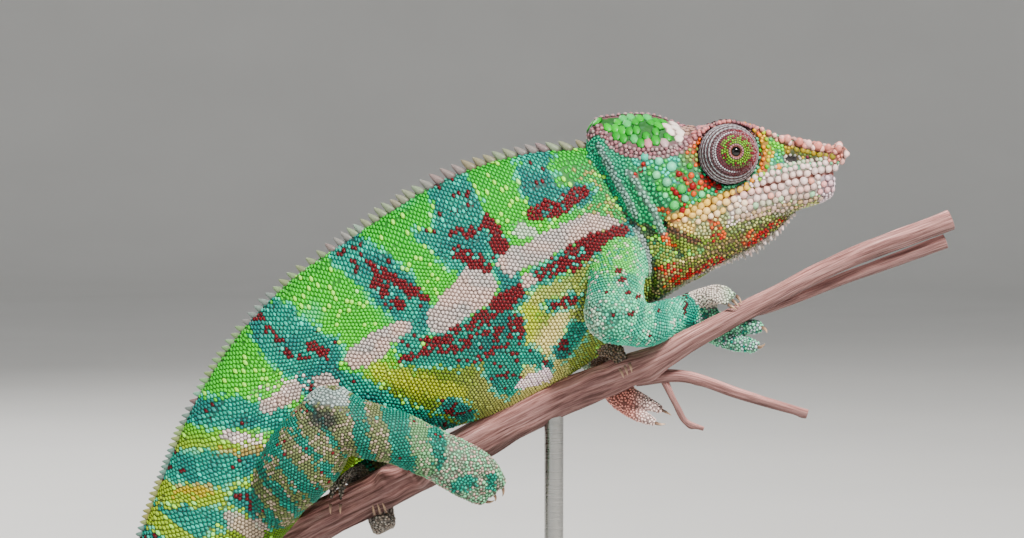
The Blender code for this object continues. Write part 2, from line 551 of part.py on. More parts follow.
def build_stand(parts, finishes, branch_room):
    """A wooden plinth and two steel rods whose upper ends are hollowed to the branch."""
    length, width, thick = PLINTH_SIZE
    outline = bpy.data.curves.new("stand_base", "CURVE")
    outline.dimensions, outline.fill_mode = "2D", "BOTH"
    outline.extrude = (thick / 2 - PLINTH_EDGE) * MM
    outline.bevel_depth, outline.bevel_resolution, outline.offset = PLINTH_EDGE * MM, 0, -PLINTH_EDGE * MM
    spline = outline.splines.new("POLY")
    corner_steps = 4
    points = []
    for quarter, (sx, sy) in enumerate(((1, 1), (-1, 1), (-1, -1), (1, -1))):
        for step in range(corner_steps + 1):
            angle = (quarter + step / corner_steps) * math.pi / 2
            points.append((sx * (length / 2 - PLINTH_CORNER) + PLINTH_CORNER * math.cos(angle),
                           sy * (width / 2 - PLINTH_CORNER) + PLINTH_CORNER * math.sin(angle)))
    spline.points.add(len(points) - 1)
    for point, (x, y) in zip(spline.points, points):
        point.co = (x * MM, y * MM, 0, 1)
    spline.use_cyclic_u = True
    base = bpy.data.objects.new("stand_base", outline)
    outline.materials.append(finishes["wood"])
    base.location.z = thick / 2 * MM
    parts.objects.link(base)
    branch = smooth(BRANCH, 200)
    for name, x in ROD_PLACES.items():
        y, z = (np.interp(x, branch[:, 0], branch[:, k]) for k in (1, 2))
        collar_top = thick + GAP + COLLAR_HEIGHT
        for piece, radius, low, high in ((f"stand_rod_{name}", ROD_RADIUS, collar_top + GAP, z),
                                         (f"stand_collar_{name}", COLLAR_RADIUS, thick + GAP, collar_top)):
            form = bmesh.new()
            place = Matrix.Translation(Vector((x, y, (low + high) / 2)) * MM)
            bmesh.ops.create_cone(form, segments=16, cap_ends=True, radius1=radius * MM, radius2=radius * MM,
                                  depth=(high - low) * MM, matrix=place)
            made = from_bmesh(piece, form, parts, finishes["steel"])
            if "rod" in piece:
                boolean(made, "DIFFERENCE", branch_room)


def main():
    clear_scene()
    parts = collection("panther_chameleon")
    tools = collection("cutters", rendered=False)
    finishes = {name: material("skin_" + name, colour) for name, colour in SKIN.items()}
    finishes.update(bark=material("bark", BARK, 0.8), steel=material("steel", STEEL, 0.3, 1.0),
                    wood=material("plinth_wood", WOOD, 0.4), horn=material("horn", HORN, 0.4),
                    eye=material("eye", EYE_DARK, 0.1))
    body = build_body(parts, tools, finishes)
    head = build_head(parts, tools, finishes)
    boolean(body["neck"], "DIFFERENCE", *head["rooms"])
    branch_room = tube("branch_room", BRANCH, tools, grow=GAP, steps=40, sides=4)
    boolean(body["trunk"], "DIFFERENCE", branch_room)
    boolean(body["tail_base"], "DIFFERENCE", branch_room)
    build_legs(parts, tools, finishes, head["rooms"], branch_room)
    build_perch(parts, tools, finishes, branch_room)
    build_stand(parts, finishes, branch_room)
    bpy.context.view_layer.update()
    for piece in parts.objects:
        if piece.modifiers:
            settle(piece)
    for tool in tools.objects:
        tool.hide_render, tool.display_type = True, "WIRE"


main()
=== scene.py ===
"""A panther chameleon, life size, gripping a cut branch on a display stand.

The animal faces +X in the XZ plane with its right side towards -Y. Sizes are in millimetres until a
piece's points go into its mesh, which is in metres.
"""

import math

import bpy
import numpy as np
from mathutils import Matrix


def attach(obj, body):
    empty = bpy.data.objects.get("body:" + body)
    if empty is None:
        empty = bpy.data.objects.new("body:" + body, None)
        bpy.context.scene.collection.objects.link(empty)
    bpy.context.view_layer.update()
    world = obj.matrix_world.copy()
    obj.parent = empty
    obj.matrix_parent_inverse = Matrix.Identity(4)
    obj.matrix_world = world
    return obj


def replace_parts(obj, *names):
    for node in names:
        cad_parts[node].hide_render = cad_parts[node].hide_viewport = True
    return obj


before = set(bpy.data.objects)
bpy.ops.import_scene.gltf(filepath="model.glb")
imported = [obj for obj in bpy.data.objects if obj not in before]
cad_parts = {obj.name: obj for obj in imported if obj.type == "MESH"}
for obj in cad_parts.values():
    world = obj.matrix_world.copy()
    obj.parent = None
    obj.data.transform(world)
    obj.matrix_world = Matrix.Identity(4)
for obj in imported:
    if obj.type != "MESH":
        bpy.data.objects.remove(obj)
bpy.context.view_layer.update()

# ------------------------------------------------------------------------------------------ studio
# A round pale dish of seamless floor and wall, a large soft lamp above the animal's face, a weaker
# one from behind its tail and a low one that lifts the shadows. The camera is a 100 mm lens.

MM = 0.001
CAMERA_REACH, CAMERA_DIP, AIM_HEIGHT = 711.0, math.radians(3), 158.0
FLOOR_REACH, DISH_BEND, WALL_TOP, DISH_SIDES = 2600, 900, 3200, 96
FLOOR_DROP = 0.1  # the floor lies this far below the plinth's underside

camera = bpy.data.objects.new("camera", bpy.data.cameras.new("camera"))
camera.data.lens = 100
camera.data.sensor_width = 36
camera.data.clip_start = 0.01
camera.location = (0, -CAMERA_REACH * math.cos(CAMERA_DIP) * MM,
                   (AIM_HEIGHT + CAMERA_REACH * math.sin(CAMERA_DIP)) * MM)
camera.rotation_euler = (math.pi / 2 - CAMERA_DIP, 0, 0)
bpy.context.scene.collection.objects.link(camera)
bpy.context.scene.camera = camera


def soft_lamp(name, place, size, watts, colour):
    """A square area lamp, place and size in metres, turned so that it faces the animal's chest."""
    lamp = bpy.data.objects.new(name, bpy.data.lights.new(name, "AREA"))
    lamp.data.size = size
    lamp.data.energy = watts
    lamp.data.color = colour
    place = np.array(place)
    aim = np.array([0.0, 0.0, 0.15]) - place
    lamp.location = place
    turn = math.atan2(aim[1], aim[0]) - math.pi / 2
    tilt = math.acos(-aim[2] / np.linalg.norm(aim))
    lamp.rotation_euler = (tilt, 0, turn)
    bpy.context.scene.collection.objects.link(lamp)


soft_lamp("lamp_key", (0.42, -0.62, 0.98), 0.2, 33.0, (1.0, 0.96, 0.9))
soft_lamp("lamp_fill", (-0.9, -1.16, 0.62), 0.9, 5.3, (0.93, 0.97, 1.0))
soft_lamp("lamp_back", (-0.5, 0.9, 0.8), 0.6, 11.0, (1.0, 0.98, 0.95))
world = bpy.data.worlds.new("studio_air")
world.use_nodes = True
world.node_tree.nodes["Background"].inputs["Color"].default_value = (0.92, 0.96, 1.0, 1.0)
world.node_tree.nodes["Background"].inputs["Strength"].default_value = 0.3
bpy.context.scene.world = world


def new_finish(name):
    """A material of one Principled shader, returned with its node tree and the shader."""
    finish = bpy.data.materials.new(name)
    finish.use_nodes = True
    return finish, finish.node_tree, finish.node_tree.nodes["Principled BSDF"]


def add_node(tree, kind, settings=None, **links):
    """A node of this kind. Settings go on its sockets, and each link joins one to another node's output."""
    node = tree.nodes.new(kind)
    for socket, value in (settings or {}).items():
        node.inputs[socket].default_value = value
    for socket, source in links.items():
        tree.links.new(source, node.inputs[socket.replace("_", " ")])
    return node


def ramp(tree, source, stops):
    """A colour ramp on a source, with stops of place and linear colour; one number stands for a grey."""
    node = add_node(tree, "ShaderNodeValToRGB", Fac=source)
    bands = node.color_ramp.elements
    while len(bands) < len(stops):
        bands.new(0.5)
    for band, (place, colour) in zip(bands, stops):
        band.position = place
        band.color = (*np.broadcast_to(colour, 3), 1.0)
    return node.outputs["Color"]


def stretched(tree, where, stretch):
    """Coordinates multiplied along each axis by a Mapping node."""
    return add_node(tree, "ShaderNodeMapping", {"Scale": stretch}, Vector=where).outputs["Vector"]


def own_coordinates(tree, stretch):
    """Object coordinates of the piece, stretched along each axis."""
    return stretched(tree, add_node(tree, "ShaderNodeTexCoord").outputs["Object"], stretch)


def noise(tree, scale, detail, where=None, **more):
    """A noise value on coordinates, which are the piece's own if none are given."""
    if where is None:
        where = own_coordinates(tree, (1, 1, 1))
    settings = {"Scale": scale, "Detail": detail, **more}
    return add_node(tree, "ShaderNodeTexNoise", settings, Vector=where).outputs["Fac"]


def roughness(tree, shader, source, stops):
    """Sets a shader's roughness from a source by a grey ramp."""
    tree.links.new(ramp(tree, source, stops), shader.inputs["Roughness"])


def carried(tree, name, output="Color"):
    """What a piece's points carry under this name."""
    node = add_node(tree, "ShaderNodeAttribute")
    node.attribute_name = name
    return node.outputs[output]


def multiplied(tree, first, second, share=1.0):
    """The first colour times the second one, by share."""
    mix = add_node(tree, "ShaderNodeMix")
    mix.data_type, mix.blend_type = "RGBA", "MULTIPLY"
    mix.inputs[0].default_value = share
    tree.links.new(first, mix.inputs[6])
    tree.links.new(second, mix.inputs[7])
    return mix.outputs[2]


def relief(tree, shader, height, distance, strength):
    """A bump from a height output, its distance in metres."""
    bump = add_node(tree, "ShaderNodeBump", {"Distance": distance, "Strength": strength}, Height=height)
    tree.links.new(bump.outputs["Normal"], shader.inputs["Normal"])


def new_piece(name, points, faces, finish, colours=None, patches=None, vectors=None):
    """A smooth mesh object at the origin from points in mm and arrays of faces, one for each corner count.

    colours go on the points as the attribute `pigment`, vectors as `grain`, and patches, one pair for
    each point, go on the corners as the UV map OFBake.
    """
    mesh = bpy.data.meshes.new(name)
    corners = np.concatenate([f.ravel() for f in faces])
    sizes = np.concatenate([np.full(len(f), f.shape[1]) for f in faces])
    mesh.vertices.add(len(points))
    mesh.vertices.foreach_set("co", (np.asarray(points) * MM).astype(np.float32).ravel())
    mesh.loops.add(len(corners))
    mesh.loops.foreach_set("vertex_index", corners.astype(np.int32))
    mesh.polygons.add(len(sizes))
    mesh.polygons.foreach_set("loop_start", (np.cumsum(sizes) - sizes).astype(np.int32))
    mesh.update(calc_edges=True)
    if colours is not None:
        rgba = np.ones((len(points), 4), np.float32)
        rgba[:, :3] = colours
        layer = mesh.attributes.new("pigment", "FLOAT_COLOR", "POINT")
        layer.data.foreach_set("color", rgba.ravel())
    if vectors is not None:
        layer = mesh.attributes.new("grain", "FLOAT_VECTOR", "POINT")
        layer.data.foreach_set("vector", np.asarray(vectors, np.float32).ravel())
    if patches is not None:
        layer = mesh.uv_layers.new(name="OFBake")
        layer.uv.foreach_set("vector", patches[corners].astype(np.float32).ravel())
    mesh.shade_smooth()
    mesh.materials.append(finish)
    piece = bpy.data.objects.new(name, mesh)
    bpy.context.scene.collection.objects.link(piece)
    return piece


def wrap(rows, columns):
    """Four-sided faces of a grid of rows by columns, whose columns close into a ring."""
    i, j = np.meshgrid(np.arange(rows - 1), np.arange(columns), indexing="ij")
    k = (j + 1) % columns
    first, after = i * columns, (i + 1) * columns
    return np.stack([first + j, first + k, after + k, after + j], -1).reshape(-1, 4)


def capped(rows, columns):
    """The faces of a tube: a closed grid, and one many-sided face at each end."""
    ring = np.arange(columns)
    return [wrap(rows, columns), ring[None, ::-1], (ring + (rows - 1) * columns)[None]]


def turned(name, profile, centre, finish, sides):
    """A surface of revolution: profile rows of radius and z, carried round an upright axis at x, y."""
    profile = np.array(profile, float)
    angle = np.arange(sides) * 2 * math.pi / sides
    reach, height = profile[:, :1], profile[:, 1:]
    x, y = centre[0] + reach * np.cos(angle), centre[1] + reach * np.sin(angle)
    points = np.stack([x, y, np.broadcast_to(height, x.shape)], -1).reshape(-1, 3)
    return new_piece(name, points, capped(len(profile), sides), finish)


dish_finish, tree, shader = new_finish("studio_paper")
shader.inputs["Roughness"].default_value = 0.9
tree.links.new(ramp(tree, noise(tree, 6.0, 3.0), [(0.2, (0.74, 0.735, 0.72)), (0.8, (0.79, 0.785, 0.77))]),
               shader.inputs["Base Color"])
bend = np.linspace(0, math.pi / 2, 16)
profile = np.array([(0.5, -FLOOR_DROP), *zip(FLOOR_REACH + DISH_BEND * np.sin(bend),
                                            DISH_BEND - DISH_BEND * np.cos(bend) - FLOOR_DROP),
                    (FLOOR_REACH + DISH_BEND, WALL_TOP)])
angle = np.arange(DISH_SIDES) * 2 * math.pi / DISH_SIDES
reach, height = profile[:, :1], np.repeat(profile[:, 1:], DISH_SIDES, 1)
dish_points = np.stack([reach * np.cos(angle), reach * np.sin(angle), height], -1).reshape(-1, 3)
dish_faces = [wrap(len(profile), DISH_SIDES)[:, ::-1], np.arange(DISH_SIDES)[None]]
dish = new_piece("studio_dish", dish_points, dish_faces, dish_finish)

# ------------------------------------------------------------------------------------------- stand
# The plinth is one oiled walnut block with rounded corners and eased edges. Two bright steel rods
# stand in turned collars screwed to it, and their upper ends are let into the branch's underside.

PLINTH = {"length": 216.0, "width": 92.0, "thick": 12.0, "corner": 14.0, "edge": 1.5}
ROD_RADIUS, COLLAR_RADIUS, COLLAR_HEIGHT = 2.4, 5.5, 3.0
ROD_PLACES = {"rear": -54.0, "front": 10.5}
CORNER_POINTS = 13

walnut, tree, shader = new_finish("oiled_walnut")
along_grain = own_coordinates(tree, (9, 120, 120))
rings = noise(tree, 1.0, 7.0, along_grain, Distortion=0.9)
wood_tones = [(0.3, (0.035, 0.018, 0.01)), (0.52, (0.1, 0.05, 0.026)), (0.72, (0.19, 0.1, 0.052))]
tree.links.new(ramp(tree, rings, wood_tones), shader.inputs["Base Color"])
pores = noise(tree, 9.0, 4.0, along_grain)
roughness(tree, shader, pores, [(0.3, 0.5), (0.7, 0.3)])
relief(tree, shader, pores, 0.0003, 0.35)

steel, tree, shader = new_finish("bright_steel")
shader.inputs["Metallic"].default_value = 1.0
shader.inputs["Base Color"].default_value = (0.34, 0.34, 0.33, 1.0)
turning = noise(tree, 1.0, 5.0, own_coordinates(tree, (60, 60, 2600)))
roughness(tree, shader, turning, [(0.3, 0.22), (0.7, 0.38)])
relief(tree, shader, turning, 0.00004, 0.4)


def plinth_outline(inset):
    """The plinth's outline drawn in by inset: four quarter circles joined by straight sides."""
    radius = PLINTH["corner"] - inset
    long, wide = (PLINTH[side] / 2 - PLINTH["corner"] for side in ("length", "width"))
    turn = np.linspace(0, math.pi / 2, CORNER_POINTS)
    arcs = []
    for quarter, (sx, sy) in enumerate(((1, 1), (-1, 1), (-1, -1), (1, -1))):
        at = turn + quarter * math.pi / 2
        arcs.append(np.stack([sx * long + radius * np.cos(at), sy * wide + radius * np.sin(at)], 1))
    return np.concatenate(arcs)


ease = np.linspace(0, math.pi / 2, 6)
edge = PLINTH["edge"]
levels = [(edge * (1 - math.sin(a)), edge * (1 - math.cos(a))) for a in ease]
levels += [(edge * (1 - math.cos(a)), PLINTH["thick"] - edge * (1 - math.sin(a))) for a in ease]
round_it = 4 * CORNER_POINTS
plinth_rings = [np.column_stack([plinth_outline(inset), np.full(round_it, z)]) for inset, z in levels]
plinth = new_piece("plinth", np.concatenate(plinth_rings), capped(len(levels), round_it), walnut)
plinth.data.set_sharp_from_angle(angle=math.radians(50))
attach(plinth, "root")
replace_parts(plinth, "stand_base")

# ------------------------------------------------------------------------------------------ branch
# A dead branch as thick as a finger, sawn off at both ends, with a fork, a side twig and a broken
# twiglet. Its thin bark is dry and furrowed along its length; its top is painted paler as sunlight and its
# underside darker as shade.

BRANCH = [
    (-86, 17.6, 73.6, 5.5), (-72, 14.6, 80.9, 5.6), (-58, 11.4, 88.6, 5.4), (-43, 8, 96.6, 5.3),
    (-28, 5, 104.4, 5.2), (-12, 2.4, 112.9, 5), (3, 0.6, 120.9, 4.6), (14, -0.8, 126.4, 4.4),
    (27, -3.2, 131.8, 4.2), (38, -8, 137.2, 3.2), (47, -10, 142.6, 2.7), (62, -10.5, 150.6, 2.4),
    (84, -10.5, 161.6, 2.4), (108, -10, 170.6, 2.6),
]
SHOOT = [(57.5, -9, 147.6, 0.9), (64, -8.4, 148.8, 1.1), (84, -8, 156.8, 1.5), (107, -8, 165.2, 1.8)]
TWIG = [(31, -4.6, 131, 2.1), (43, -6.6, 131.6, 1.5), (58, -8, 126.9, 1.3), (73, -9, 122.6, 1.1)]
TWIGLET = [(37.6, -5.4, 131, 0.9), (40.4, -7, 125.2, 0.7), (43, -8, 120.6, 0.7), (47.4, -8.4, 118.8, 0.5)]
KNOTS = {  # on each stem: x, angle, reach, rise as a share
    "branch": [(-30, 1.2, 1.9, 0.5), (-23.5, 1.5, 1.3, 0.7), (22, 1.2, 3.2, 0.3), (29.5, 1.2, 3.6, 0.42),
               (34, 2.6, 3, 0.34), (66, 1.5, 2.4, 0.16), (40, 0.2, 2.6, 0.2), (-62, 1, 3, 0.25)],
    "shoot": [(72, 1, 2, 0.35), (90, 4, 2, 0.25)],
    "twig": [(46, 4, 1.6, 0.4), (60, 1.4, 1.4, 0.45), (72, 3, 1.2, 0.3)],
    "twiglet": [(41.5, 1, 1, 0.7), (44.5, 3, 0.9, 0.6)],
}
BARK_TINT = np.array([1.14, 0.86, 0.82])


def through(rows, count):
    """The rows as samples of a Catmull-Rom curve, evenly spaced in the rows' own numbering."""
    rows = np.asarray(rows, float)
    padded = np.vstack([2 * rows[0] - rows[1], rows, 2 * rows[-1] - rows[-2]])
    at = np.linspace(0, len(rows) - 1, count)
    i = np.minimum(at.astype(int), len(rows) - 2)
    t = (at - i)[:, None]
    a, b, c, d = (padded[i + k] for k in range(4))
    return 0.5 * (2 * b + (c - a) * t + (2 * a - 5 * b + 4 * c - d) * t**2 + (3 * b - a - 3 * c + d) * t**3)


def unit(vectors):
    """Vectors divided by their lengths, along the last axis."""
    return vectors / np.maximum(np.linalg.norm(vectors, axis=-1, keepdims=True), 1e-9)


CUBE = np.array([(n & 1, n >> 1 & 1, n >> 2 & 1) for n in range(8)])  # a cell's corners


def dapple(points, size, seed):
    """A smooth random value from 0 to 1 that changes over about `size`: values drawn for the corners of a
    lattice from their whole coordinates, mixed by the smoothed place inside each cell."""
    scaled = np.asarray(points) / size
    cell = np.floor(scaled).astype(np.int64)
    part = scaled - cell
    part = part * part * (3 - 2 * part)
    total = np.zeros(len(scaled))
    for step in CUBE:
        drawn = ((cell + step) @ np.array([73856093, 19349663, 83492791]) + seed * 7919) & 0x7FFFFFFF
        drawn = ((drawn ^ (drawn >> 13)) * 1274126177) & 0x7FFFFFFF
        drawn = ((drawn ^ (drawn >> 15)) * 1103515245 + 12345) & 0x7FFFFFFF
        weight = np.prod(np.where(step, part, 1 - part), axis=1)
        total += weight * (drawn >> 8 & 0xFFFF) / 65535
    return total


bark, tree, shader = new_finish("dry_bark")
grain = carried(tree, "grain", "Vector")
furrows = noise(tree, 1.9, 7.0, stretched(tree, grain, (0.045, 1.0, 1.0)), Roughness=0.66, Distortion=0.3)
streaks = ramp(tree, furrows, [(0.28, (0.05, 0.02, 0.018)), (0.42, (0.26, 0.13, 0.12)),
                               (0.55, (0.56, 0.34, 0.32)), (0.72, (0.86, 0.66, 0.63))])
blotches = noise(tree, 1.0, 3.0, stretched(tree, grain, (0.12, 0.3, 0.3)))
patchy = ramp(tree, blotches, [(0.35, (0.62, 0.56, 0.58)), (0.65, (1.0, 0.96, 0.95))])
# The points' pigment carries the stems' painted sunlight on top and painted shade underneath.
streaks_with_painted_light = multiplied(tree, streaks, carried(tree, "pigment"), 0.8)
tree.links.new(multiplied(tree, streaks_with_painted_light, patchy, 0.6), shader.inputs["Base Color"])
roughness(tree, shader, furrows, [(0.3, 0.9), (0.7, 0.62)])
relief(tree, shader, furrows, 0.0006, 0.8)


def wood_stem(name, rows, steps, sides, rough, seed, knots):
    """A round stem carried along the curve through its rows. Its radius is the row's, times one plus low
    furrows that run along it, slow swellings, and a rounded rise at each knot; both ends are sawn flat."""
    line = through(rows, steps)
    heading = unit(np.gradient(line[:, :3], axis=0))
    side = unit(np.cross(heading, (0.0, 1.0, 0.0)))
    up = np.cross(heading, side)
    length = np.concatenate([[0], np.cumsum(np.linalg.norm(np.diff(line[:, :3], axis=0), axis=1))])
    angle = np.arange(sides) * 2 * math.pi / sides
    far, round_ = np.meshgrid(length, angle, indexing="ij")
    flat = np.stack([far, 4 * np.cos(round_), 4 * np.sin(round_)], -1).reshape(-1, 3)
    furrow = np.abs(dapple(flat * (0.085, 1, 1), 1.1, seed) - 0.5) * 2
    fine = dapple(flat * (0.3, 2.2, 2.2), 1.0, seed + 1)
    swell = dapple(flat * (0.12, 0.3, 0.3), 1.0, seed + 2)
    size = 1 + rough * (0.62 * (furrow - 0.4) + 0.3 * (fine - 0.5) + 0.9 * (swell - 0.5))
    for x, place, reach, rise in knots:
        beside = (np.cos(round_ - place) - 1) * 5
        size += (rise * np.exp(-((line[:, 0][:, None] - x) / reach) ** 2 + beside)).ravel()
    size = size.reshape(far.shape)
    spread = (line[:, 3:] * size)[..., None]
    ring = np.cos(round_)[..., None] * side[:, None] + np.sin(round_)[..., None] * up[:, None]
    body = line[:, None, :3] + spread * ring
    first, last = body[0], body[-1]
    shoulder_in = line[0, :3] + (first - line[0, :3]) * 0.94 - heading[0] * 0.12
    shoulder_out = line[-1, :3] + (last - line[-1, :3]) * 0.94 + heading[-1] * 0.12
    points = np.concatenate([shoulder_in, body.reshape(-1, 3), shoulder_out])
    # Painted light: the bark's tone is painted paler where the surface faces up, as sunlight, and darker
    # where it faces down, as shade. It is also darker in the low furrows and varies with the slow swellings.
    lit, under = np.clip(ring[..., 2], 0, 1), np.clip(-ring[..., 2], 0, 1)
    tone_painted_sun_and_shade = 0.56 + 1.3 * lit**1.6 * (0.45 + swell.reshape(far.shape)) - 0.34 * under
    tone_painted_sun_and_shade *= 0.66 + 0.5 * furrow.reshape(far.shape)
    tone = np.concatenate([np.full(sides, 1.15), tone_painted_sun_and_shade.ravel(), np.full(sides, 1.15)])
    place = np.concatenate([flat[:sides] * (1, 0.5, 0.5), flat, flat[-sides:] * (1, 0.5, 0.5)])
    piece = new_piece(name, points, capped(steps + 2, sides), bark, tone[:, None] * BARK_TINT, vectors=place)
    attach(piece, "root")
    return piece


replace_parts(wood_stem("branch", BRANCH, 420, 96, 0.16, 3, KNOTS["branch"]), "perch_branch")
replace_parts(wood_stem("branch_shoot", SHOOT, 140, 40, 0.14, 5, KNOTS["shoot"]), "perch_shoot")
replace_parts(wood_stem("branch_twig", TWIG, 120, 40, 0.16, 7, KNOTS["twig"]), "perch_twig")
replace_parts(wood_stem("branch_twiglet", TWIGLET, 60, 24, 0.3, 9, KNOTS["twiglet"]), "perch_twiglet")

branch_line = through(BRANCH, 400)
for name, x in ROD_PLACES.items():
    y, z, radius = (np.interp(x, branch_line[:, 0], branch_line[:, k]) for k in (1, 2, 3))
    base = PLINTH["thick"] + 0.3
    foot = base + COLLAR_HEIGHT
    rod_profile = [(ROD_RADIUS - 0.3, foot), (ROD_RADIUS, foot + 0.3), (ROD_RADIUS, z - radius * 0.75)]
    collar_profile = [(COLLAR_RADIUS, base), (COLLAR_RADIUS, base + 1.6), (COLLAR_RADIUS - 0.5, base + 2.2),
                      (ROD_RADIUS + 1.0, base + 2.6), (ROD_RADIUS + 0.7, foot)]
    rod = turned("rod_" + name, rod_profile, (x, y), steel, 48)
    collar = turned("collar_" + name, collar_profile, (x, y), steel, 64)
    for piece, node in ((rod, "stand_rod_" + name), (collar, "stand_collar_" + name)):
        piece.data.set_sharp_from_angle(angle=math.radians(35))
        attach(piece, "root")
        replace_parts(piece, node)

# ---------------------------------------------------------------------------------------- the skin
# One closed skin over the whole animal, from the snout's knob to the tip of the coiled tail and out
# to every toe. It is a thin, dry hide, folded behind the head, darker than its scales and painted nearly
# black between them as shade.

COAT_DEPTH = 0.42
SPINE = [  # x, z, half depth, half width
    (44, 171.5, 16, 9), (33, 170.6, 19.6, 9.6), (27, 169.3, 21, 9.8), (18.2, 165.2, 25.2, 10.6),
    (7.8, 160.1, 28.1, 11.3), (-3.3, 154.6, 29.4, 11.8), (-14.7, 148.5, 29.2, 12),
    (-26.3, 142.9, 27.5, 11.9), (-38.4, 137.2, 25.2, 11.5), (-48.9, 129.6, 23.2, 11),
    (-56.9, 121.8, 21.4, 10.5), (-63, 114.3, 19.8, 10.2), (-67.8, 106.6, 18.4, 9.9), (-72.8, 98.2, 17, 9.4),
    (-78.2, 89.6, 15.1, 8.7), (-83.8, 80.4, 12.8, 7.7), (-88.6, 70.8, 10.5, 6.8), (-92, 60.4, 8.5, 6),
    (-93.8, 49.6, 7, 5.3), (-94, 38.6, 6, 4.7),
]
HANGING_ROWS = 10 * (len(SPINE) - 1) + 1  # dense rows before the coil
COIL = {"centre": (-76.6, 38.0), "start": 17.4, "shrink": 0.118, "turns": 1.72, "thick": (5.6, 0.95)}
HEAD = [  # x, roof z, crest y and z, cheek y and z, lip y, mouth z
    (18.4, 192.4, 2.2, 191.2, 3.4, 188.8, 2.6, 185.6), (21, 195.9, 4.4, 194.2, 6.6, 187, 5, 180),
    (25, 196.9, 7.6, 190.2, 9.4, 184, 8, 174), (30, 197.4, 10.2, 188.4, 11.2, 180.3, 10.4, 170),
    (35.8, 196.9, 11, 188.3, 12.3, 177.8, 11.4, 169.4), (42, 194.6, 9.8, 189.8, 12, 178.2, 11.6, 171.4),
    (48, 194, 8.6, 194.2, 10.4, 182.6, 11.1, 174), (54, 195, 8.4, 195.9, 9, 185.6, 10.2, 176.5),
    (60, 193.5, 8, 194.5, 8.2, 186, 9.3, 178.5), (66, 190.8, 7, 191.9, 7, 186.2, 8.3, 179.9),
    (72, 189.2, 6, 190.5, 5.7, 186, 7.1, 181), (77.5, 188.2, 5.2, 189.4, 4.7, 185.4, 5.8, 181.9),
    (81.3, 187.4, 4.3, 188.4, 3.8, 184.8, 4.4, 182.4),
]
JAW = [  # x, underside z
    (36.5, 161.8), (42, 160.2), (48, 162.4), (54, 165.4), (60, 167.9), (66, 170.3), (72, 172.6),
    (77.5, 174.3), (80.6, 176.2),
]
THROAT = [  # x, underside z, half width
    (34.5, 148.4, 8.2), (40, 151.9, 8), (47, 156.2, 7.6), (54, 159.4, 7), (61, 163.2, 6), (66, 166.8, 5),
    (70.5, 171.6, 3.4),
]
KNOB = (81.2, 0.0, 186.9), (2.7, 4.9, 2.6)  # the snout's end: centre and half sizes
EYE = {"centre": (53.4, 8.0, 186.8), "radius": 7.8, "gaze": (0.19, 0.975, 0.1)}
NOSTRIL, KNEE = (69.1, 185.4), (-46.0, 122.4)  # x, z
LIMBS = {
    "right_leg": [[(-60.5, -2, 98.5, 6), (-57.2, -7, 103.6, 7.8), (-50.8, -12, 112.6, 9.8),
                   (-44.6, -15.5, 122.9, 7.6)],
                  [(-43.8, -15.8, 122.4, 6.9), (-36.6, -16.2, 119.6, 7.2), (-28.2, -15.2, 117.3, 6.8),
                   (-21.4, -13.4, 114, 6.4)]],
    "left_leg": [[(-61.5, 4, 99.6, 6.4), (-57.8, 9, 104.8, 8.2), (-52, 14.6, 111.4, 9.4),
                  (-46.4, 19.4, 117.4, 7.4)],
                 [(-45.8, 19.8, 117.6, 6.2), (-39.6, 20.4, 111.6, 6), (-35.4, 18.4, 105.4, 5.4)]],
    "right_arm": [[(27.6, -6, 161.8, 6.2), (25.6, -12.8, 154.6, 7), (25, -16.8, 148.2, 7.7)],
                  [(25.2, -17.2, 147.2, 6.3), (32.6, -13.8, 144.9, 5.6), (40, -5, 146.6, 4.6),
                   (45.6, -0.6, 148.4, 4)]],
    "left_arm": [[(27.6, 6, 162, 6.6), (22, 13, 152, 7.2), (17.6, 16.6, 143, 7)],
                 [(17.4, 16.6, 142.4, 5.6), (20.2, 13.8, 136.6, 5), (24, 9.4, 132, 4.2)]],
}
BUNDLES = {
    "right_leg": {
        "outer": ([(-20, -12.4, 113.4, 5.7), (-13.8, -11, 110, 6), (-9.2, -9.6, 107, 5.5),
                   (-5.6, -7.2, 103.4, 4)], 3),
        "inner": ([(-20.8, -9.6, 113.8, 3.6), (-20, -4.6, 116.8, 2.5), (-19.4, 1.4, 117.6, 2.1),
                   (-18.6, 7.2, 115.8, 1.9), (-17.8, 10.4, 112, 1.7)], 2),
    },
    "left_leg": {
        "outer": ([(-35, 17.6, 102, 4.6), (-34, 14.4, 95.8, 3.6), (-32.6, 7.6, 92.6, 3),
                   (-32.2, 0.4, 93.6, 2.5), (-32.8, -2.2, 96.4, 2)], 3),
        "inner": ([(-36.8, 17, 103.4, 4), (-40.6, 12.6, 104.6, 3), (-42.8, 6, 105.8, 2.5),
                   (-43.8, 1, 103.2, 2.2), (-44.2, -0.8, 99.6, 1.8)], 2),
    },
    "right_arm": {
        "outer": ([(47, -1.4, 147, 3.8), (50.4, -3, 143.6, 4.1), (55.6, -6.4, 142.4, 4.1),
                   (60, -9.8, 141.8, 3.3)], 2),
        "inner": ([(46.6, -0.8, 149.2, 3.9), (49.2, -3.4, 151.4, 3.4), (51, -6.6, 151.9, 2.9),
                   (52.4, -9.2, 151.7, 2.4), (53.9, -11.2, 151, 2)], 3),
    },
    "left_arm": {
        "outer": ([(25, 7.8, 130.8, 3.9), (27, 4.2, 126.4, 3.7), (31.4, -0.4, 123.6, 3.4),
                   (36, -3.4, 121.6, 2.5)], 2),
        "inner": ([(24.2, 8.6, 132.8, 3.6), (22.6, 4.2, 137.4, 3.2), (23.8, -2, 138.6, 2.7),
                   (26, -6.2, 137.4, 2.2), (27.6, -8.4, 134.8, 1.8)], 3),
    },
}
ALONG_BRANCH = (0.89, -0.14, 0.44)  # the way across a bundle's toes, save in two bundles
TOES_LIE = {"right_leg_outer": (0.78, -0.1, 0.62), "right_arm_outer": (0.1, 0.2, 0.97)}
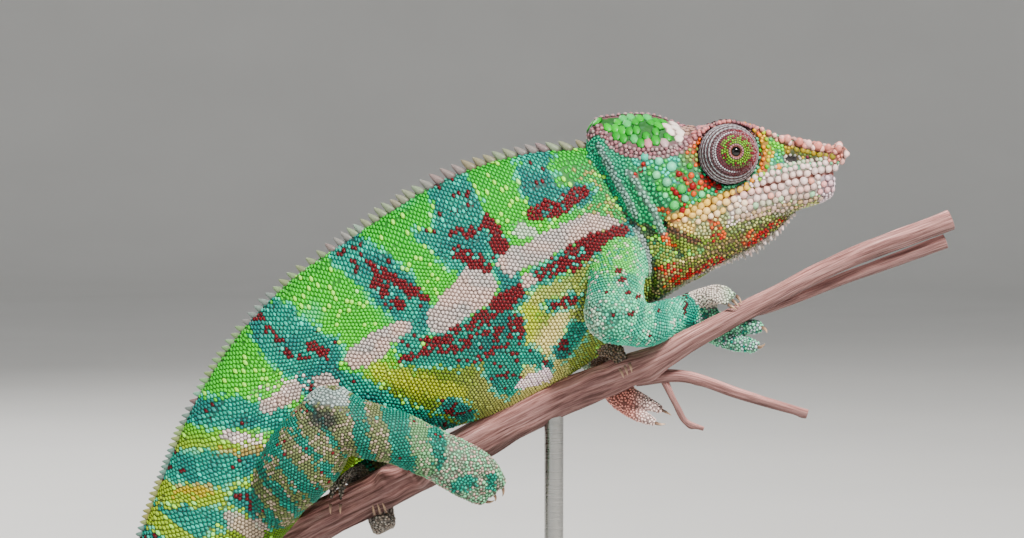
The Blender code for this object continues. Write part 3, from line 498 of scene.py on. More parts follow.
FOLDS = [  # the grooves behind the head: x and z along each, depth, half width
    ([(19.4, 189.8), (21.7, 184.8), (24.8, 178.4), (28.9, 171.2), (32.6, 165.7), (34.8, 159.3),
      (35.3, 153.8)], 1.7, 0.8),
    ([(30.5, 182), (33.4, 177.6), (36.7, 172), (38.8, 166.5), (41.4, 161.5)], 1.5, 0.75),
    ([(25.6, 183.4), (28.6, 177.6), (32.2, 171.4), (35.4, 165.6)], 0.8, 0.6),
]
RIDGES = [  # the rounded edges that stand up beside the grooves: x and z along each, height, half width
    ([(21.6, 188.8), (23.5, 184.4), (26.6, 178.6), (30.5, 171.6)], 1, 0.8),
    ([(28.6, 182.4), (31.4, 178.2), (34.8, 172.6), (37, 167.4)], 1, 0.8),
    ([(33.6, 157), (33.4, 163), (30.6, 168.4)], 0.9, 0.8),
]
GRID_STEP = 0.71
GRID_LOW, GRID_HIGH = np.array([-102.5, -28.5, 12.5]), np.array([87.0, 28.5, 201.0])
BODY, SKULL, JAWS, GULAR, LIMB = range(5)  # part numbers; limbs have PER_LIMB each, from LIMB on
PER_LIMB = 4  # upper length, lower length, outer bundle, inner bundle


def spine_rows():
    """Dense rows of x, z, half depth, half width: the table's smooth curve and then a coil whose radius
    shrinks by the same share each turn while its thickness falls to the tip's."""
    hanging = through(SPINE, HANGING_ROWS)
    share = np.linspace(0, 1, 181)[1:]
    turn = math.pi + share * COIL["turns"] * 2 * math.pi
    reach = COIL["start"] * np.exp(-COIL["shrink"] * (turn - math.pi))
    thick = COIL["thick"][0] + (COIL["thick"][1] - COIL["thick"][0]) * share**0.8
    x, z = COIL["centre"][0] + reach * np.cos(turn), COIL["centre"][1] + reach * np.sin(turn)
    return np.vstack([hanging, np.stack([x, z, thick, 0.86 * thick], 1)])


spine = spine_rows()
spine_step = np.linalg.norm(np.diff(spine[:, :2], axis=0), axis=1)
spine_length = spine_step.sum()
spine_share = np.concatenate([[0], np.cumsum(spine_step)]) / spine_length
spine_heading = unit(np.gradient(spine[:, :2], spine_share, axis=0))
coiling = np.clip((spine_share - 0.6) / 0.1, 0, 1)


def along_spine(x, z):
    """For places in the middle plane: share of the spine's length, height from -1, belly, to 1, back, way
    past either end, and the half depth and half width there, from the nearest point of the spine. In the
    coil nearness is measured from the tail's surface, so that each turn keeps its own places."""
    nearest = np.empty(len(x), np.int64)
    for start in range(0, len(x), 12000):
        part = slice(start, start + 12000)
        away = np.hypot(x[part, None] - spine[None, :, 0], z[part, None] - spine[None, :, 1])
        nearest[part] = np.argmin(away - coiling * spine[:, 2], axis=1)
    off = np.stack([x, z], 1) - spine[nearest, :2]
    heading = spine_heading[nearest]
    forward = (off * heading).sum(1)
    share = spine_share[nearest] + forward / spine_length
    beyond = np.maximum(np.maximum(-share, share - 1), 0) * spine_length
    share = np.clip(share, 0, 1)
    depth, width = (np.interp(share, spine_share, spine[:, k]) for k in (2, 3))
    height = (off[:, 0] * heading[:, 1] - off[:, 1] * heading[:, 0]) / depth
    return share, height, beyond, depth, width


def as_distance(level):
    """A level function made nearly a distance: divided by the length of its own slope."""
    slope = np.gradient(level, GRID_STEP)
    size = np.sqrt(slope[0] ** 2 + slope[1] ** 2 + slope[2] ** 2)
    return level / np.maximum(size, 0.02)


def blended(a, b, reach):
    """The nearer of two distances, with the crease between them filled over `reach`: the lower value less a
    quarter of the reach times the square of how far into it the two differ."""
    share = np.clip(1 - np.abs(a - b) / reach, 0, 1)
    return np.minimum(a, b) - share * share * reach / 4


def section_distance(y, z, corners):
    """Distance of places (y, z), below zero inside, from an outline mirrored about y = 0. The corners have
    one row for each slice along x: least distance to any side, its sign from counting sides crossed."""
    y, z = np.abs(y)[None, :, None], z[None, None, :]
    best, inside = 1e9, False
    for k in range(corners.shape[1] - 1):
        (ay, az), (by, bz) = (corners[:, end].T[..., None, None] for end in (k, k + 1))
        dy, dz = by - ay, bz - az
        share = np.clip(((y - ay) * dy + (z - az) * dz) / np.maximum(dy**2 + dz**2, 1e-9), 0, 1)
        best = np.minimum(best, (y - ay - share * dy) ** 2 + (z - az - share * dz) ** 2)
        crossed = (az > z) != (bz > z)
        lean = np.where(np.abs(dz) < 1e-9, 1e-9, dz)
        inside = inside ^ (crossed & (y < dy * (z - az) / lean + ay))
    return np.where(inside, -1, 1) * np.sqrt(best)


def along_tube(points, line):
    """Distance of points from a tube of changing radius, and the share of its length at the nearest one."""
    best = np.full(len(points), 1e9, np.float32)
    share = np.zeros(len(points), np.float32)
    for k in range(len(line) - 1):
        a, b = line[k], line[k + 1]
        side = b[:3] - a[:3]
        off = points - a[:3]
        t = np.clip(off @ side / (side @ side), 0, 1)
        away = np.sqrt(((off - t[:, None] * side) ** 2).sum(1)) - a[3] - (b[3] - a[3]) * t
        nearer = away < best
        best[nearer] = away[nearer]
        share[nearer] = (k + t[nearer]) / (len(line) - 1)
    return best, share


def toe_lines(limb, which):
    """The middle lines of one bundle's toes: offsets across the bundle that open out towards the tips, with
    each toe's radius falling from the palm's to its own."""
    rows, toes = BUNDLES[limb][which]
    line = through(rows, 14)
    heading = unit(np.gradient(line[:, :3], axis=0))
    across = np.array(TOES_LIE.get(f"{limb}_{which}", ALONG_BRANCH))
    across = unit(across - heading * (heading @ across)[:, None])
    share = np.linspace(0, 1, len(line))
    spread = 1 + (0.5 * share if toes == 3 else 0.9 * share**2)
    slim = 0.92 - (0.36 if toes == 3 else 0.3) * np.clip(share * 1.5, 0, 1)
    made = []
    for toe in range(toes):
        place = (toe - (toes - 1) / 2) / toes * 1.55
        offset = line[:, 3] * spread * place * np.clip(0.35 + share, 0, 1)
        made.append(np.column_stack([line[:, :3] + across * offset[:, None], line[:, 3] * slim]))
    return made


def to_line(x, z, line):
    """Distance of places in the middle plane from a chain of straight pieces, and the share along it."""
    flat = np.column_stack([x, np.zeros(len(x)), z])
    chain = np.array([(a, 0.0, b, 0.0) for a, b in line])
    return along_tube(flat, chain)


grid = [np.arange(low, high, GRID_STEP, dtype=np.float32) for low, high in zip(GRID_LOW, GRID_HIGH)]
gx, gy, gz = grid
plane_x, plane_z = (a.ravel() for a in np.meshgrid(gx, gz, indexing="ij"))
share, height, beyond, depth, width = along_spine(plane_x, plane_z)
lean = np.maximum(1 - 0.2 * height, 0.55)
plane = (len(gx), 1, len(gz))
round_part = (np.abs(height) ** 2.2 + (2 * beyond / depth) ** 2).astype(np.float32).reshape(plane)
girth = (width * lean).astype(np.float32).reshape(plane)
field = as_distance((round_part + (np.abs(gy)[None, :, None] / girth) ** (1 / 0.6)) ** 0.5 - 1)
field = np.clip(field, -9, 9).astype(np.float32)
label = np.zeros(field.shape, np.int8)  # each grid point's part number


def room(low, high):
    """The part of the grid between two corners, as slices, and its coordinates."""
    first = np.maximum(((np.array(low) - GRID_LOW) / GRID_STEP).astype(int), 0)
    last = np.minimum(((np.array(high) - GRID_LOW) / GRID_STEP).astype(int) + 1, field.shape)
    cut = tuple(slice(a, b) for a, b in zip(first, last))
    return cut, [axis[c] for axis, c in zip(grid, cut)]


def add_form(cut, distance, reach, number):
    """Joins a form to the field inside one part of the grid, and marks what lies nearer to it."""
    label[cut][distance < field[cut]] = number
    field[cut] = blended(field[cut], distance, reach)


def at_slices(table, x):
    """A table's smooth curve read at every x, one result for each of its other columns."""
    dense = through(table, 200)
    return [np.interp(x, dense[:, 0], dense[:, k]) for k in range(1, dense.shape[1])]


def sliced_form(first, last, *corners):
    """Distance from a form cut square at two places along x. Its outline's corners, y and z, follow x."""
    outlines = np.stack([np.stack(corner, 1) for corner in corners], 1)
    ends = np.maximum(first - hx, hx - last)[:, None, None]
    return np.maximum(section_distance(hy, hz, outlines), ends)


def from_centre(axes, centre, half_sizes=(1, 1, 1)):
    """Distance of a part of the grid from a centre, measured in half sizes."""
    x, y, z = (((axis - c) / size) ** 2 for axis, c, size in zip(axes, centre, half_sizes))
    return np.sqrt(x[:, None, None] + y[:, None] + z)


cut, (hx, hy, hz) = room((10, -18, 142), (87, 18, 201))
top, crest_y, crest_z, cheek_y, cheek_z, lip_y, mouth = at_slices(HEAD, hx)
nil = 0 * top
head_form = sliced_form(
    18.4, 81.3, (nil, top), (0.55 * crest_y, crest_z + 0.62 * (top - crest_z)), (crest_y, crest_z),
    (crest_y - 0.5 + 0.25 * (cheek_y - crest_y), crest_z - 1.5), (cheek_y, cheek_z),
    (0.5 * (cheek_y + lip_y) + 0.15, 0.5 * (cheek_z + mouth)), (lip_y, mouth + 1),
    (lip_y - 0.3, mouth - 0.2), (nil, mouth - 0.2))
head_form = blended(head_form, (from_centre((hx, hy, hz), *KNOB) - 1) * 2.4, 1.2)
low, = at_slices(JAW, hx)
jaw_form = sliced_form(36.5, 80.4, (nil, mouth), (lip_y - 0.5, mouth), (lip_y, mouth - 1),
                       (0.94 * lip_y, 0.5 * (mouth + low)), (0.66 * lip_y, low + 0.9), (nil, low))
low, wide = at_slices(THROAT, hx)
high = low + 6 + 0.7 * wide
throat_form = sliced_form(34.5, 70.0, (nil, high), (wide, high), (wide, 0.45 * high + 0.55 * low),
                          (0.6 * wide, low + 1.2), (nil, low))
add_form(cut, throat_form.astype(np.float32), 2.6, GULAR)
add_form(cut, jaw_form.astype(np.float32), 1.8, JAWS)
add_form(cut, head_form.astype(np.float32), 1.0, SKULL)

# The mouth's closed line, the nostrils, the eye sockets and the folds are pressed into the same form.
mouth_line = np.exp(-(((hz[None, :] - mouth[:, None]) / 0.4) ** 2)) * ((hx > 39.5) & (hx < 82))[:, None]
field[cut] += (0.3 * mouth_line[:, None, :] * (np.abs(hy)[None, :, None] > 1.5)).astype(np.float32)
for side in (-1, 1):
    for centre, reach in (((68.5, 6.8 * side, 185.6), 1.0), ((69.7, 6.5 * side, 185.2), 0.9)):
        field[cut] = np.maximum(field[cut], reach - from_centre((hx, hy, hz), centre))
    socket = from_centre((hx, hy, hz), np.array(EYE["centre"]) * (1, side, 1)) - (EYE["radius"] - 0.35)
    field[cut] = -blended(-field[cut], socket, 0.8)

for number, (limb, lengths) in enumerate(LIMBS.items()):
    rows = np.concatenate([*lengths, *(line for line, _ in BUNDLES[limb].values())])
    cut, (lx, ly, lz) = room(rows[:, :3].min(0) - 17, rows[:, :3].max(0) + 17)
    points = np.stack(np.meshgrid(lx, ly, lz, indexing="ij"), -1).reshape(-1, 3).astype(np.float32)
    upper, _ = along_tube(points, through(lengths[0], 16))
    lower, _ = along_tube(points, through(lengths[1], 16))
    form = blended(upper, lower, 1.6)
    part = np.where(upper < lower, 0, 1)
    for k, which in enumerate(("outer", "inner")):
        toes = [along_tube(points, line)[0] for line in toe_lines(limb, which)]
        bundle = toes[0]
        for toe in toes[1:]:
            bundle = blended(bundle, toe, 0.7)
        part = np.where(bundle < form, 2 + k, part)
        form = blended(form, bundle, 1.4)
    hold = np.array(lengths[0][0][:3])
    near_root = np.exp(-((np.linalg.norm(points - hold, axis=1) / (15 if "leg" in limb else 10)) ** 2))
    shape = (len(lx), len(ly), len(lz))
    form = form.reshape(shape)
    nearer = form < field[cut]
    label[cut][nearer] = (LIMB + PER_LIMB * number + part.reshape(shape))[nearer]
    field[cut] = blended(field[cut], form, (0.9 + 3.2 * near_root).reshape(shape))


def along_line(line, size, half):
    """A rounded profile of this size and half width across a line of the middle plane; its ends fade."""
    away, share = to_line(plane_x, plane_z, line)
    shape = size * np.exp(-((away / half) ** 2)) * np.clip(4 * share + 0.2, 0, 1)
    return (shape * np.clip(4.5 - 4 * share, 0, 1)).astype(np.float32).reshape(plane)


for line, deep, half in FOLDS:
    field += along_line(line, deep, half) * (np.abs(gy)[None, :, None] > 1.2)
for line, tall, half in RIDGES:
    field -= along_line(line, tall, half)
dimple = np.sqrt((gx[:, None, None] - KNEE[0]) ** 2 + (gz[None, None, :] - KNEE[1]) ** 2)
field += (0.7 * np.exp(-((dimple / 2.3) ** 2)) * (gy[None, :, None] < -6)).astype(np.float32)

field += COAT_DEPTH
for axis in range(3):
    inner = [slice(None)] * 3
    before, after = list(inner), list(inner)
    inner[axis], before[axis], after[axis] = slice(1, -1), slice(None, -2), slice(2, None)
    field[tuple(inner)] = 0.5 * field[tuple(inner)] + 0.25 * (field[tuple(before)] + field[tuple(after)])
slopes = [s.astype(np.float32) for s in np.gradient(field, GRID_STEP)]


def at_points(values, points):
    """Grid values read between the grid's points: the eight around each place, weighted by nearness."""
    scaled = (points - GRID_LOW) / GRID_STEP
    cell = np.clip(scaled.astype(int), 0, np.array(values.shape) - 2)
    part = scaled - cell
    total = 0
    for step in CUBE:
        weight = np.prod(np.where(step, part, 1 - part), axis=1)
        i, j, k = (cell + step).T
        total = total + weight * values[i, j, k]
    return total


def onto_skin(points, times=1):
    """Points moved along the field's slope by their distance from its zero level, and the slope there."""
    for _ in range(times):
        slope = np.stack([at_points(s, points) for s in slopes], 1)
        size = np.maximum((slope**2).sum(1), 0.05)
        points = points - slope * np.clip(at_points(field, points) / size, -0.6, 0.6)[:, None]
    return points, unit(np.stack([at_points(s, points) for s in slopes], 1))


def skin_of(level):
    """Surface nets: one point in each cell that the zero level passes through, at the mean of where the
    level cuts the cell's edges, and one four-sided face across each cut edge of the grid."""
    solid = level < 0
    count = np.zeros([n - 1 for n in level.shape], np.int8)
    for step in CUBE:
        count += solid[tuple(slice(a, n - 1 + a) for a, n in zip(step, level.shape))]
    active = (count > 0) & (count < 8)
    number = np.cumsum(active.ravel()).reshape(active.shape) - 1
    total, cuts = np.zeros((active.sum(), 3)), np.zeros(active.sum())
    faces = []
    for a in range(3):
        b, c = (a + 1) % 3, (a + 2) % 3
        near = [slice(1, -1)] * 3
        far = list(near)
        near[a], far[a] = slice(0, -1), slice(1, None)
        crossed = np.argwhere(solid[tuple(near)] != solid[tuple(far)])
        crossed += np.array([0 if k == a else 1 for k in range(3)])
        ahead = crossed + np.eye(3, dtype=int)[a]
        start, end = level[tuple(crossed.T)], level[tuple(ahead.T)]
        spot = crossed.astype(float)
        spot[:, a] += start / (start - end)
        quad = []
        for db, dc in ((0, 0), (1, 0), (1, 1), (0, 1)):
            cell = crossed.copy()
            cell[:, b] -= db
            cell[:, c] -= dc
            ids = number[tuple(cell.T)]
            quad.append(ids)
            cuts += np.bincount(ids, minlength=len(cuts))
            for k in range(3):
                total[:, k] += np.bincount(ids, spot[:, k], minlength=len(cuts))
        quad = np.stack(quad, 1)
        faces.append(np.where((start < 0)[:, None], quad, quad[:, ::-1]))
    return total / cuts[:, None] * GRID_STEP + GRID_LOW, np.concatenate(faces)


skin_points, skin_faces = skin_of(field)
skin_points, _ = onto_skin(skin_points, 2)


def skin_places(points):
    """Part number, share of the spine, height across the body and half depth of points on the skin."""
    cell = np.clip(np.rint((points - GRID_LOW) / GRID_STEP).astype(int), 0, np.array(label.shape) - 1)
    share, height, _, depth, _ = along_spine(points[:, 0], points[:, 2])
    return label[tuple(cell.T)], share, height, depth


# ------------------------------------------------------------------------------------ the markings
# The colours lie in the scales: a green ground that turns olive and cream towards the belly, slanting
# teal bars with clusters of dark red scales, and a broken pinkish-white line along each flank.

PIGMENTS = {
    "leaf": (0, 186, 28), "lime": (96, 216, 10), "olive": (108, 140, 14), "cream": (226, 208, 130),
    "teal": (0, 142, 120), "deep_teal": (0, 94, 96), "turquoise": (10, 206, 178), "mint": (104, 224, 160),
    "red": (102, 0, 22), "scarlet": (164, 8, 0), "orange": (226, 84, 0), "amber": (246, 186, 20),
    "blush": (224, 190, 176), "pearl": (255, 226, 220), "lilac": (232, 206, 222), "tan": (112, 122, 80),
    "ash": (160, 160, 154), "mauve": (170, 110, 120), "salmon": (240, 142, 126), "butter": (255, 206, 96),
    "moss": (84, 104, 40), "fern": (16, 150, 40), "ochre": (170, 140, 14), "clay": (226, 112, 70),
    "slate": (104, 112, 112), "mist": (160, 182, 184), "earth": (118, 92, 72), "plum": (88, 28, 44),
}
BARS = {  # by name: x, z and reach at either end of each stretch
    "shoulder": [(5, 188, 3.8, 5.8, 181, 4.2), (5.8, 181, 4.2, 8.2, 175.4, 3.8),
                 (8.2, 175, 3.2, 17.5, 177, 2.2)],
    "fore": [(-17.2, 181.5, 4.4, -13.8, 173.5, 5.6), (-13.8, 172.5, 5.8, -12.4, 165.8, 7.6),
             (-12.4, 165.8, 7.4, -9.4, 159.4, 4.4), (-4.6, 165.5, 2.6, -1.2, 157.5, 2.6),
             (-1.2, 157.5, 2.6, 0.6, 151.5, 2.8), (3, 154.2, 1.6, 13, 160.6, 2.6),
             (13, 160.6, 2.4, 27.5, 168, 2.4), (-22.6, 166.6, 1.6, -18, 166, 2.2)],
    "flank": [(-25.5, 136.3, 1.4, -14, 139.4, 4.8), (-14, 139.4, 5.2, -3.6, 142.6, 7),
              (-3.6, 142.6, 6.6, -1.4, 131, 4), (-2.4, 149, 3, 0, 151, 2),
              (-22, 149, 2.2, -25.5, 139.5, 2.8)],
    "middle": [(-45, 166, 3.6, -36.4, 159.4, 4.6), (-36.4, 159.4, 4.8, -28.4, 152.8, 5.4),
               (-28.4, 152.8, 5.2, -23.6, 146.8, 3.8)],
    "hind": [(-65, 150, 3.8, -57.6, 142.4, 6.4), (-57.6, 142.4, 6.6, -50.6, 136.6, 6.8),
             (-51, 138.4, 5, -45.2, 138.4, 3.4), (-49, 132.4, 4.6, -39, 128.4, 3.8),
             (-39, 128.4, 3.6, -28, 123.2, 3), (-28, 123.2, 2.4, -13, 117.6, 1.4)],
    "rump": [(-86, 122.8, 3, -69, 122.8, 3.5), (-69, 122.8, 3.4, -57, 121.4, 3)],
    "root": [(-90, 108.8, 3.4, -73, 108.9, 3.8), (-73, 108.9, 3.6, -62, 111, 3),
             (-66.8, 101.6, 2.8, -60, 97.4, 3.4)],
    "tail": [(-95, 95.2, 3.3, -78, 95.4, 3.6), (-78, 95.4, 3.2, -71, 96.8, 1.8)],
    "spots": [(9.4, 149.3, 1.5, 15.8, 151.2, 1.2), (12.6, 137.8, 2.2, 16, 143.4, 2.2),
              (4.6, 137, 2, 8.4, 134.4, 1.7), (-16, 124.8, 2.4, -11.4, 122, 2.2)],
}
BLOTCHES = [
    (-0.4, 160.2, 2.9, 8, 164.2, 3.1), (8, 164.2, 3, 20.4, 169.8, 2.8), (20.4, 169.8, 2.8, 26, 169.4, 1.3),
    (3.9, 155.6, 1.6, 4.6, 155.9, 1.5), (-17.4, 146.4, 3.6, -8.6, 154.4, 4.8),
    (-38.2, 136.6, 3.2, -33, 140.2, 3.1), (-33, 141, 2.4, -26.4, 144.4, 1.8),
    (-48, 130.8, 1.7, -44.6, 130.8, 1.6), (-61, 124.4, 1.9, -54, 128, 2.3),
    (-71.5, 116.9, 1.1, -66, 117.4, 1.1),
]
RED_BANDS = [  # x, z, reach at either end, and how many of its scales are red
    (5.4, 172.2, 1.8, 12, 174, 1.9, 0.72), (12, 174, 1.8, 17.6, 177.4, 1.3, 0.66),
    (-6, 171.2, 0.9, -2.9, 164.4, 1.7, 0.95), (-14, 162.8, 1.2, -7.2, 159.6, 1.9, 0.75),
    (-12.6, 167.4, 1.3, -8.4, 168.2, 1, 0.6), (1.2, 152.8, 1.5, -3.5, 149.5, 1.8, 0.88),
    (-3.5, 149.5, 1.7, -12, 143.8, 1, 0.6), (-12, 143.8, 0.9, -27, 136, 0.7, 0.6),
    (-17, 138.6, 0.5, -2, 144.6, 0.5, 0.6), (-9, 136, 0.4, -1, 140, 0.4, 0.7),
    (1.6, 146, 0.8, 2, 142, 0.6, 0.8), (-21, 140.8, 0.8, -16, 141.2, 0.6, 0.8),
    (7.4, 157.6, 1.8, 14, 160.4, 2.4, 0.55), (14, 160.4, 2.6, 20, 165, 2.3, 0.8),
    (20, 165, 2.2, 27.4, 168.2, 1.2, 0.9), (-34.6, 158.8, 0.8, -21.5, 151.4, 1.1, 0.75),
    (-34, 154.8, 1, -31.4, 153.2, 0.9, 0.9), (-28.4, 150.4, 1.1, -27.4, 149.6, 1, 0.95),
    (-49.6, 139.4, 1, -46, 137.4, 1, 0.8), (10.4, 149.6, 0.9, 15, 151, 0.8, 0.8),
    (-65, 147, 0.8, -58, 142.6, 0.7, 0.4),
]
ARM_SPOTS = [  # x, z
    (25.8, 158.6), (24.3, 160.6), (27.8, 153.4), (30.8, 152.3), (28.9, 148.5), (35.9, 148.6), (33.9, 142.8),
    (25, 148.5), (44, 149.2), (26.6, 156.4), (22.6, 153.6),
]
BAND_PITCH, BAND_START = 13.9, 95.3  # the tail's bars: one to each pitch of its length, from this z down


def mixed(a, b, share):
    """Colours a to b by share."""
    share = np.asarray(share)[..., None]
    return a * (1 - share) + b * share


def rise(low, high, value):
    """A smooth step of a value from 0 at low to 1 at high."""
    t = np.clip((value - low) / (high - low), 0, 1)
    return t * t * (3 - 2 * t)


def pigment(name):
    """A named pigment as linear light."""
    return (np.array(PIGMENTS[name]) / 255.0) ** 2.2


def tint(c, where, colour, strength):
    """Mixes a colour into the chosen rows of c."""
    c[where] = c[where] * (1 - strength) + colour * strength


def reach_of(x, z, stretch):
    """Distance outside a stretch whose reach changes evenly from one end to the other."""
    x0, z0, r0, x1, z1, r1 = stretch
    dx, dz = x1 - x0, z1 - z0
    share = np.clip(((x - x0) * dx + (z - z0) * dz) / max(dx**2 + dz**2, 1e-6), 0, 1)
    return np.hypot(x - x0 - share * dx, z - z0 - share * dz) - (r0 + (r1 - r0) * share)


def reach_of_all(x, z, stretches):
    """The least of the distances outside several stretches."""
    return np.min([reach_of(x, z, s) for s in stretches], axis=0)


def head_colours(x, y, z, chance, ragged, part):
    """Pigment of places on the head, jaw and throat."""
    _, crest_y, crest_z, *_, mouth = at_slices(HEAD, x)
    above = z - mouth
    rim = np.hypot(np.abs(y) - crest_y, z - crest_z) * np.where(z < crest_z, 0.8, 1.0)
    c = mixed(pigment("leaf") * 0.45 + pigment("turquoise") * 0.3, pigment("mint") * 0.8, rise(50, 60, x))
    c = mixed(c, pigment("ochre"), rise(182, 186, z) * rise(40, 44, x) * rise(50, 46, x) * 0.6)
    c = mixed(c, pigment("teal"), rise(31, 26, x) * 0.6)

    def paint(name, where, strength=1.0):
        """Mixes a pigment into the places where it belongs."""
        tint(c, where, pigment(name), strength)

    def dab(name, *stretch, share=1.0, strength=1.0, loose=0.5):
        """Paints this share of the scales in one stretch, whose edge is as ragged as `loose` says."""
        paint(name, (reach_of(x, z, stretch) + ragged * loose < 0) & (chance < share), strength)

    roof = (z > crest_z - 0.6) & (x < 42)
    orbit = np.hypot(x - EYE["centre"][0], z - EYE["centre"][2])
    # Round the eye and on the snout.
    paint("mauve", (orbit < 10.4) & (z > 190.6), 0.9)
    paint("salmon", (orbit < 10.4) & (z > 190.6) & (chance < 0.3), 0.6)
    dab("leaf", 65.5, 187.8, 3.2, 67, 184, 2.6, strength=0.7)
    dab("turquoise", 65.5, 187.6, 3.2, 67, 184, 2.6, share=0.45, strength=0.8)
    dab("mint", 60, 181.6, 1.8, 72, 184, 1.6)
    dab("ochre", 68, 188, 1.5, 81, 184.8, 1.3)
    dab("moss", 70, 187.4, 1, 78, 185.6, 1, share=0.5)
    dab("plum", 73, 185.6, 0.5, 82, 184, 0.7, loose=0.2)
    dab("lime", 62.5, 188.5, 1.4, 66.5, 189.2, 1)
    # Close before and behind the eye.
    dab("amber", 61.3, 191.6, 0.9, 63.3, 187, 1.3, loose=0.3)
    dab("amber", 63.3, 187, 1.3, 61.6, 182.4, 1.2, loose=0.3)
    dab("orange", 61, 192, 0.8, 62, 183, 0.9, share=0.55)
    dab("orange", 45, 191, 1.3, 46.4, 184.6, 1.2, share=0.75)
    dab("orange", 46.4, 184.6, 1, 49.4, 180.4, 0.8, share=0.6)
    # Temple and cheek.
    dab("turquoise", 31, 186.4, 2.2, 38, 184.6, 3.4, strength=0.75)
    dab("leaf", 36.5, 183.2, 3, 43.5, 176.8, 4.2, strength=0.8)
    dab("turquoise", 36, 184, 2, 44, 176.5, 2.6, share=0.4)
    dab("scarlet", 41, 181.4, 1.3, 44.6, 178.4, 1.6, share=0.5)
    dab("scarlet", 40, 177.6, 1.1, 43.6, 173.6, 1.3, share=0.55)
    dab("scarlet", 46.8, 180.9, 0.9, 50.6, 178.6, 0.9, share=0.75)
    dab("scarlet", 33.2, 185.4, 0.8, 30.8, 181.6, 0.9, share=0.5)
    dab("orange", 43.8, 180, 1, 46.2, 178.2, 1.2, share=0.7)
    dab("orange", 36, 173.6, 1, 38.8, 172.2, 1, share=0.6)
    dab("orange", 29, 187.8, 1.2, 44, 188, 1.1, share=0.45)
    # Lips and jaw.
    lip = (above > 0) & (above < 2.0) & (x > 38)
    paint("pearl", lip & (x > 55))
    paint("salmon", lip & (x > 62) & (chance < 0.35), 0.5)
    paint("butter", lip & (x <= 55))
    paint("mint", (above >= 2.0) & (above < 3.0) & (x > 50) & (chance < 0.6), 0.6)
    below = (above <= 0) & (x > 38)
    paint("mint", below, 0.45)
    paint("cream", below & (above < -4.5), 0.5)
    paint("ochre", below & (above < -6.5) & (chance > 0.5), 0.5)
    paint("pearl", below & (chance < rise(-11, -2.0, above) * 1.1), 0.9)
    paint("moss", below & (above < -7.6) & (chance < 0.75), 0.75)
    paint("lilac", below & (x > 76.5), 0.8)
    paint("olive", below & (x < 53), 0.75)
    paint("cream", below & (x < 53) & (chance > 0.6), 0.7)
    dab("butter", 39, 170.6, 1.7, 43.6, 168.6, 1.6, strength=0.85)
    dab("butter", 40.6, 171.6, 1.4, 50, 175.2, 1.3)
    dab("olive", 41, 165.6, 2.4, 46, 164.4, 2.2, strength=0.8)
    dab("orange", 49.4, 171.2, 1.4, 51.6, 164.6, 2.3, share=0.55)
    dab("scarlet", 49.8, 167.6, 1.2, 51.2, 162.6, 1.8, share=0.55)
    dab("moss", 48, 160.6, 2.4, 70, 170, 1.8, share=0.75, strength=0.75)
    # Throat, and the last marks over the jaw's corner.
    paint("ochre", part == GULAR, 0.6)
    paint("moss", (part == GULAR) & (chance < 0.75), 0.85)
    paint("earth", (part == GULAR) & (chance > 0.4) & (chance < 0.6), 0.8)
    paint("earth", (part == GULAR) & (chance > 0.85), 0.7)
    dab("plum", 38.6, 168.4, 0.8, 47, 164.2, 0.8, strength=0.85)
    dab("cream", 37, 160.4, 1.2, 46, 162.4, 1.2, share=0.5)
    dab("scarlet", 58.6, 164.6, 1.3, 62, 166.8, 1.4, share=0.7)
    dab("orange", 57.6, 165, 1, 60, 166.6, 1, share=0.5)
    dab("scarlet", 41, 155.8, 1, 51, 160.6, 1.3, share=0.6)
    dab("scarlet", 34.4, 163, 1.6, 41, 156.4, 1.9, share=0.5)
    dab("orange", 35, 160, 1, 38.6, 154.6, 1.4, share=0.35)
    dab("scarlet", 64.6, 169.2, 0.9, 68, 170.8, 0.9, share=0.5)
    dab("orange", 35.8, 168.2, 0.8, 41.4, 161.8, 0.9, share=0.8)
    hem = np.interp(x, *np.array(THROAT).T[:2])
    paint("ash", (part == GULAR) & (z < hem + 1.4), 0.6)
    # Crest, snout's end and the casque's roof.
    paint("salmon", (rim < 1.9 + 0.4 * ragged) & (x > 60), 0.9)
    paint("mauve", (rim < 1.9 + 0.4 * ragged) & (x <= 60) & (x > 43), 0.9)
    paint("salmon", (rim < 1.9) & (x <= 60) & (x > 43) & (chance < 0.4), 0.8)
    paint("salmon", (x > 77) & (z > 184.4) & (above > 2.4), 0.9)
    paint("leaf", roof)
    paint("mint", roof & (chance < 0.18), 0.3)
    paint("fern", roof & (chance > 0.5), 0.6)
    c[roof] *= 0.72
    paint("mauve", (rim < 2.1) & (x <= 43))
    paint("ash", (rim < 2.1) & (x <= 43) & (chance < 0.35), 0.5)
    paint("mauve", (np.abs(y) < 1.3) & (z > crest_z + 0.5) & (x < 44))
    paint("pearl", roof & (reach_of(x, z, (39.6, 193.4, 1.4, 41.6, 192.0, 1.6)) < 0), 0.9)
    paint("mauve", (z > crest_z) & (x >= 42) & (x < 60), 0.75)
    paint("salmon", (z > crest_z - 0.4) & (x >= 60), 0.7)
    paint("orange", (np.abs(above) < 0.45) & (x > 39), 0.7)
    # Painted shade: the nostril's opening is painted near black.
    c[np.hypot((x - NOSTRIL[0]) / 1.9, (z - NOSTRIL[1]) / 1.3) < 1] = pigment("plum") * 0.15
    return c


